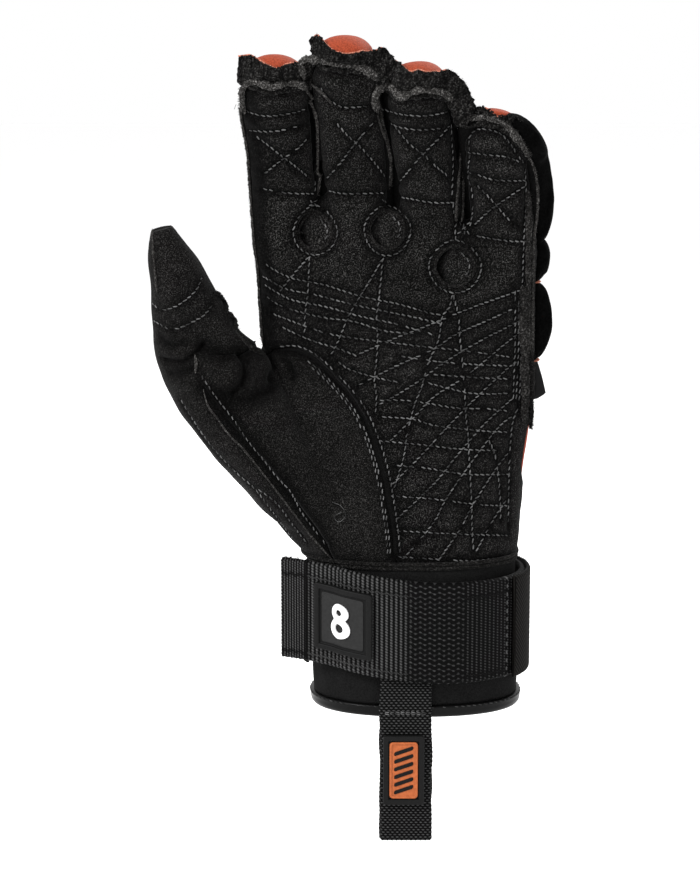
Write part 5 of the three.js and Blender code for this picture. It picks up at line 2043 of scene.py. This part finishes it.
# A woven band: a closed ring of points at each place along it, the front ones fine.
# weave gives the height of the threads there, 0 to 1, from along and up; relief is how
# high they stand, and a ragged band has a finer and frayed start.
def woven_band(name, material, place, span, height, thickness, lift, columns, rows, weave,
               relief, ragged=0.0):
    along = np.linspace(*span, columns)
    if ragged:
        fine = np.arange(span[0], span[0] + FREE_END, FINE_STEP)
        along = np.concatenate([fine, along[along > fine[-1] + FINE_STEP / 2]])
        columns = len(along)
    ups = np.linspace(-height / 2, height / 2, rows)
    grid_along, grid_up = np.meshgrid(along, ups, indexing="ij")
    threads = weave(grid_along, grid_up)
    edge = smoothstep(np.minimum(grid_up + height / 2, height / 2 - grid_up), -0.3, 0.9)
    out = lift + thickness * (0.45 + 0.55 * edge) + relief * (threads - 1)
    edges = 0.22 * np.sin(grid_along * 2 * np.pi / RIB_PITCH)
    stretch = 1 + edges * (np.abs(grid_up) > height / 2 - 0.3) / height
    if ragged:
        grid_along = grid_along - ragged * bell(grid_along - span[0], 1.5) * (
            0.5 + 0.5 * np.sin(grid_up * 5)
        )
    front = place(grid_along.ravel(), (grid_up * stretch).ravel(), out.ravel())
    back_ups = np.linspace(height / 2, -height / 2, BAND_BACK)
    back_along, back_up = np.meshgrid(along, back_ups, indexing="ij")
    back = place(back_along.ravel(), back_up.ravel(), np.full(back_up.size, lift))
    verts, faces = loft(np.concatenate([
        front.reshape(columns, rows, 3), back.reshape(columns, BAND_BACK, 3),
    ], 1))
    thread = np.concatenate([threads, np.full((columns, BAND_BACK), 0.5)], 1)
    thread = np.concatenate([thread.ravel(), [0.5, 0.5]])
    piece(name, verts, faces, material, True, thread=thread)


# Ribs along a strap, each a column of slanted beads
def ribs(along, up, rib_pitch, bead_pitch):
    rib = np.floor(along / rib_pitch)
    across = along / rib_pitch - rib - 0.5
    ridge = 0.5 - 0.5 * np.cos(along * 2 * np.pi / rib_pitch)
    bead = 0.5 + 0.5 * np.cos(2 * np.pi * (up / bead_pitch + rib / 2 + 0.5 * across))
    return ridge**0.55 * (0.5 + 0.5 * bead)


# The strap's ribs, finer ones before the seam of its free end, two sewn rows along its
# edges, a row of stitches at its side, and the mesh over its hooks
def strap_weave(along, up):
    plain = ribs(along, up, RIB_PITCH, BEAD_PITCH)
    fine = ribs(along, up, *FINE_RIBS) * 0.9
    share = smoothstep(along, FREE_END - 0.6, FREE_END + 0.4)
    threads = lerp(fine, plain, share) * (1 - 0.85 * bell(along - FREE_END, 0.6))
    for row in STRAP_ROWS:
        wavy = up - row - 0.35 * np.sin(along * 2 * np.pi / (RIB_PITCH * 2))
        threads = np.maximum(threads * (1 - 0.4 * bell(wavy, 0.7)),
                             0.7 * bell(wavy, 0.3) * share)
    # Painted shade: the threads darker towards the strap's right end
    threads = threads * lerp(1, STRAP_RIGHT_SHADE, smoothstep(along, *STRAP_SHADE_RANGE))
    dashes = smoothstep(np.cos(up * 2 * np.pi / 3.1), -0.2, 0.3)
    side = along - SIDE_STITCHES * STRAP.length
    threads = np.maximum(threads, bell(side, 0.4) * dashes)
    hooks = smoothstep(along, *HOOKS_START) * (1 - smoothstep(along, *HOOKS_END))
    zigzag = 0.5 * np.sin(along * 2 * np.pi / 3.4)
    mesh_lines = (0.5 + 0.5 * np.cos(up * 2 * np.pi / 1.9 + 2.6 * zigzag)) ** 2
    return lerp(threads, 0.28 * plain + 0.42 * mesh_lines, hooks * 0.85)


def twill(along, up):
    lines = 0.5 + 0.5 * np.cos((along + up * 0.75) * 2 * np.pi / 1.3)
    return lines**1.6


def tab_weave(along, across):
    rib = np.floor(along / TAB_RIB)
    ridge = 0.5 - 0.5 * np.cos(along * 2 * np.pi / TAB_RIB)
    slant = across + 0.35 * (along / TAB_RIB - rib)
    bead = 0.5 + 0.5 * np.cos((slant / TAB_BEAD + 0.5 * rib) * 2 * np.pi)
    return ridge**0.6 * (0.3 + 0.7 * bead)


def make_strap():
    woven_band(
        "wrist_strap", "webbing", on_strap, (0, STRAP.length), STRAP_HEIGHT,
        STRAP_THICKNESS, lift=0, columns=int(STRAP.length / RIB_PITCH * 4), rows=120,
        weave=strap_weave, relief=0.5, ragged=0.8,
    )
    woven_band(
        "strap_side_band", "side_webbing", on_strap,
        (STRAP.length * SIDE_BAND[0], STRAP.length * SIDE_BAND[1]), SIDE_BAND_HEIGHT,
        thickness=1.5, lift=ON_STRAP, columns=110, rows=110, weave=twill, relief=0.3,
    )


# Frayed threads at the upper corner of the strap's free end
def make_strap_fray():
    count = STRAP_HAIRS
    along = rng.uniform(*STRAP_FRAY, count)
    up = STRAP_HEIGHT / 2 - 0.3 * rng.uniform(size=count)
    foot = on_strap(along, up, rng.uniform(0.2, STRAP_THICKNESS - 0.2, count))
    out = np.tile([0.25, -0.1, 1.0], (count, 1))
    piece("strap_fray", *hairs(foot, out, 0.45, (0.5, 1.9), 0.14), "flap")


def make_tab():
    woven_band(
        "pull_tab", "tab_webbing", on_tab, (0, TAB.length), TAB_WIDTH, TAB_THICKNESS,
        lift=-TAB_THICKNESS / 2, columns=int(TAB.length / TAB_RIB * 4), rows=52,
        weave=tab_weave, relief=0.45,
    )


# Stitches across the tab where it is sewn to the sleeve
def make_tab_stitches():
    across = np.linspace(-TAB_WIDTH / 2 + 2, TAB_WIDTH / 2 - 2, 9)
    rows = []
    for low in TAB_STITCH_ROWS:
        places = on_tab(np.full(9, low), across, np.full(9, TAB_THICKNESS / 2 + 0.1))
        rows.append(stitches(places, np.tile([0, -1.0, 0.1], (9, 1))))
    sew("tab_stitches", rows, "thread")


# A plate with rounded corners: profile gives how far each ring is in from the
# outline and how far it stands out
def plate(width, height, radius, profile, place):
    turn = np.linspace(0, np.pi / 2, 6)
    rings = []
    for inset, out in profile:
        w, h = width / 2 - inset, height / 2 - inset
        r = max(SHARPEST_CORNER, min(radius - inset, w, h))
        arcs = []
        for quarter, (sx, sy) in enumerate([(1, 1), (-1, 1), (-1, -1), (1, -1)]):
            t = turn + quarter * np.pi / 2
            arcs.append(
                np.stack([sx * (w - r) + r * np.cos(t), sy * (h - r) + r * np.sin(t)], 1)
            )
        points = []
        for arc, after in zip(arcs, arcs[1:] + arcs[:1]):
            straight = [lerp(arc[-1], after[0], s) for s in np.linspace(0, 1, 8)[1:-1]]
            points += [*arc, *straight]
        x, y = np.array(points).T
        rings.append(place(x, y, np.full(len(x), out)))
    return loft(rings)


# The profile of a plate's raised rim round a sunken floor
def rim_profile(rim, thickness, floor):
    return [
        (0.25, 0), (0, 0.25), (0, thickness - 0.35), (0.15, thickness - 0.08),
        (0.45, thickness), (rim - 0.4, thickness), (rim - 0.1, thickness - 0.12),
        (rim, thickness - 0.4), (rim + 0.05, floor),
    ]


# The rings of a plate's flat part, from one inset to another
def flat(start, end, out, shares=(0, 0.5, 1)):
    return [(lerp(start, end, share), out) for share in shares]


def on_patch(u, v, out):
    return on_strap(PATCH_PLACE + u, v, ON_STRAP + out)


def on_label(u, v, out):
    return np.stack([LABEL_X + u, LABEL_FRONT - out, LABEL_Z + v], 1)


# The size patch with its raised rim, its face and its figure
def make_size_patch():
    inner = min(PATCH_WIDTH, PATCH_HEIGHT) / 2
    floor = PATCH_THICKNESS - PATCH_SUNK
    profile = rim_profile(PATCH_RIM, PATCH_THICKNESS, floor)
    profile += flat(PATCH_RIM + 0.3, inner - 0.4, floor, PATCH_SHARES)
    body = plate(PATCH_WIDTH, PATCH_HEIGHT, PATCH_CORNER, profile, on_patch)
    piece("size_patch", *body, "frame", True)
    edge = 2 * (PATCH_RIM + 0.9)
    face = floor + 0.35
    profile = [(0, floor - 0.1), (0, floor + 0.2), (0.15, face)]
    profile += flat(0.4, inner - edge / 2 - 0.4, face, PATCH_SHARES)
    body = plate(PATCH_WIDTH - edge, PATCH_HEIGHT - edge, PATCH_CORNER, profile, on_patch)
    piece("size_patch_face", *body, "rubber")
    make_figure(on_patch, face)


# The tab's label: a frame with an orange plate in it and slanted ridges on that
def make_tab_label():
    profile = rim_profile(LABEL_RIM, LABEL_THICKNESS, LABEL_FLOOR)
    profile += flat(LABEL_RIM + 0.3, LABEL_WIDTH / 2 - 0.4, LABEL_FLOOR)
    body = plate(LABEL_WIDTH, LABEL_HEIGHT, 1.0, profile, on_label)
    piece("tab_label_frame", *body, "frame", True)
    width, height = LABEL_WIDTH - 2 * LABEL_RIM - 0.6, LABEL_HEIGHT - 2 * LABEL_RIM - 0.6
    profile = PLATE_PROFILE + flat(1.1, width / 2 - 0.3, PLATE_PROFILE[-1][1])
    piece("tab_label_plate", *plate(width, height, 1.4, profile, on_label), "label", True)
    ridges = []
    for k in range(RIDGES):
        middle = lerp(-height / 2 + 3.4, height / 2 - 3.4, k / (RIDGES - 1))

        def slanted(u, v, out):
            return on_label(u, middle + v + RIDGE_SLANT * u, out)

        ridges.append(plate(width - 3.4, 1.5, 0.6, RIDGE_PROFILE, slanted))
    piece("tab_label_ridges", *join(ridges), "relief")


# Points of an arc in the figure
def arc_points(y, radius, start, end, count, whole=False):
    return [
        (radius * math.cos(t), y + radius * math.sin(t))
        for t in np.linspace(start, end, count, endpoint=not whole)
    ]


# The figure 8 as a rounded ribbon in two rings that share their waist
def make_figure(place, floor):
    curve = bpy.data.curves.new("figure", "CURVE")
    curve.dimensions = "2D"
    curve.fill_mode = "BOTH"
    curve.extrude = FIGURE_EXTRUDE
    curve.bevel_depth = FIGURE_BEVEL
    curve.bevel_resolution = 2
    low, high = FIGURE_HEIGHT * 0.29, FIGURE_HEIGHT * 0.25
    stroke = FIGURE_HEIGHT * 0.145
    low_y, high_y = -FIGURE_HEIGHT / 2 + low, FIGURE_HEIGHT / 2 - high
    waist = math.asin(0.75)
    loops = [
        arc_points(low_y, low, math.pi - waist, 2 * math.pi + waist, 40)
        + arc_points(high_y, high, -waist, math.pi + waist, 40),
        arc_points(low_y, low - stroke, 0, 2 * math.pi, 36, whole=True),
        arc_points(high_y, high - stroke, 0, 2 * math.pi, 36, whole=True),
    ]
    for points in loops:
        spline = curve.splines.new("POLY")
        spline.points.add(len(points) - 1)
        for point, (x, y) in zip(spline.points, points):
            point.co = (x, y, 0, 1)
        spline.use_cyclic_u = True
    carrier = new_object("figure", curve)
    graph = bpy.context.evaluated_depsgraph_get()
    mesh = bpy.data.meshes.new_from_object(carrier.evaluated_get(graph))
    co = np.array([v.co for v in mesh.vertices])
    faces = [list(p.vertices) for p in mesh.polygons]
    bpy.data.objects.remove(carrier)
    bpy.data.curves.remove(curve)
    bpy.data.meshes.remove(mesh)
    # The front, the back and the rounded edge share their points from here on
    _, first, shared = np.unique(
        np.round(co, 4), axis=0, return_index=True, return_inverse=True,
    )
    shared = shared.ravel()
    co = co[first]
    faces = [list(dict.fromkeys(int(shared[k]) for k in face)) for face in faces]
    faces = [face for face in faces if len(face) > 2]
    verts = place(co[:, 0], co[:, 1], floor + FIGURE_LIFT + co[:, 2])
    piece("size_figure", verts, faces, "white", True)


# The sleeve, with soft wrinkles over the binding
def make_cuff():
    rows, sides = CUFF_MESH
    heights = np.linspace(RIM + BINDING_HEIGHT + 0.2, CUFF_TOP, rows)
    sheet = sheet_of(np.array(hand_rings(heights, 0, sides)), closed=True)
    x, y, z = sheet.verts.T
    folds = np.sin(np.arctan2(y, x) * 23 + z * 0.1) * bell(z - 9, 7)
    sheet.swell(0.16 * folds + 0.14 * waves(sheet.verts, 16))
    piece("neoprene_cuff", *sheet.thick(WALL), "neoprene", True)


# A closed roll round the hand at a height: section gives its points outwards and up
def roll_round(z, outset, section):
    path = np.array(hand_rings([z], outset, ROUND_STEPS))[0]
    along = unit(np.roll(path, -1, 0) - np.roll(path, 1, 0))
    out = np.cross(along, SKYWARD)
    rings = path[:, None] + section[None, :, :1] * out[:, None]
    rings = rings + section[None, :, 1:] * SKYWARD
    verts = rings.reshape(-1, 3)
    return verts, outward(verts, grid_quads(rings, True, True))


# The binding, with a raised bead near its top
def make_binding():
    outer = WALL / 2 + BINDING_PROUD
    high = BINDING_HEIGHT / 2
    section = np.array([
        (outer - 0.35, high), (outer, high - 0.25), (outer + 0.25, high - 0.7),
        (outer, high - 1.1), (outer + 0.05, high - 2.2), (outer - 0.2, 0.9 - high),
        (outer - 0.8, 0.15 - high), (0, -high), (0.8 - outer, 0.15 - high),
        (0.1 - outer, 0.9 - high), (-outer, 0), (0.1 - outer, high - 0.4),
        (0.5 - outer, high),
    ])
    body = roll_round(RIM + high, -WALL / 2, section)
    piece("cuff_binding", *body, "binding", True)


# Stitches round the top of the binding
def make_binding_stitches():
    z = RIM + BINDING_HEIGHT - 0.4
    path = np.array(hand_rings([z], BINDING_PROUD + 0.05, 600))[0]
    path = even(np.vstack([path, path[:1]]), BINDING_PITCH)
    out = np.cross(unit(np.gradient(path, axis=0)), SKYWARD)
    sew("binding_stitches", [stitches(path, out, BINDING_STITCH, 0.2)], "dark_thread")


# Hem where the palm ends over the sleeve: two turned rolls of suede
def make_hem():
    section = oval(0.7, 0.75, 10)
    piece("palm_hem", *join([roll_round(z, proud, section) for z, proud in HEM]), "flap")


panels = make_panels()
inserts = make_keyholes()
front_surface = surface_of([panels[k] for k in (PALM, THENAR, THUMB_FRONT)] + inserts)
whole_surface = surface_of(panels)
keyhole_arcs = [teardrop(*corners, ARC_SHRINK)[3:19] for corners in KEYHOLE_RINGS]

make_welts(front_surface)
make_stitches("palm_stitches", front_surface, [
    *PALM_ROWS, *RINGS, *FINGER_EDGES, *keyhole_arcs,
])
make_stitches("seam_stitches", front_surface, [
    beside_line(PALM_SEAM_PIXELS, -SEAM_ROW),
    *[beside_line(PALM_SEAM_PIXELS[BALL_ROWS_FROM:], offset) for offset in BALL_ROWS],
    *THENAR_ROWS,
])
make_stitches("thumb_stitches", front_surface, THUMB_ROWS)
make_back_stitches(panels[BACK])
make_raw_edges(front_surface)
make_frays(front_surface)
make_seam_backing()
for name, (top, bottom, edged) in TIP_FLAPS.items():
    make_flap(name, whole_surface, top, bottom, edged)
make_side_pads()
make_upper_pad()
make_pad_seams()
make_bar()
make_strap()
make_strap_fray()
make_tab()
make_size_patch()
make_tab_label()
make_cuff()
make_binding()
make_binding_stitches()
make_hem()
make_tab_stitches()
make_loose_threads(front_surface)


# Floor, camera and light
def make_stage():
    low, high = -FLOOR_SIZE, FLOOR_SIZE
    mesh = bpy.data.meshes.new("floor")
    mesh.from_pydata(
        [(x, y, FLOOR_HEIGHT) for x, y in ((low, low), (high, low), (high, high), (low, high))],
        [], [(0, 1, 2, 3)],
    )
    mesh.materials.append(Finish("pale_floor", grey(FLOOR_TONE), 0.9).material)
    floor = new_object("floor", mesh)


def make_camera():
    data = bpy.data.cameras.new("camera")
    data.sensor_width = SENSOR
    data.lens = FOCAL_PIXELS * SENSOR / IMAGE_HEIGHT
    data.clip_end = 50
    camera = new_object("camera", data)
    camera.location = Vector((EYE - [0, 0, RIM]) * MM)
    camera.rotation_euler = (math.pi / 2 - ELEVATION, 0, 0)
    bpy.context.scene.camera = camera


def make_light(name, place, size, power):
    data = bpy.data.lights.new(name, "AREA")
    data.energy = power
    data.size = size
    light = new_object(name, data)
    light.location = place
    aim = Vector(LIGHTS_AIM) - Vector(place)
    light.rotation_euler = aim.to_track_quat("-Z", "Y").to_euler()


def make_world():
    world = bpy.data.worlds.new("studio")
    bpy.context.scene.world = world
    world.use_nodes = True
    background = world.node_tree.nodes["Background"]
    background.inputs["Color"].default_value = (1, 1, 1, 1)
    background.inputs["Strength"].default_value = 1.0


make_stage()
make_camera()
make_world()
for light_values in LIGHTS:
    make_light(*light_values)
bpy.context.scene.view_settings.view_transform = "Standard"
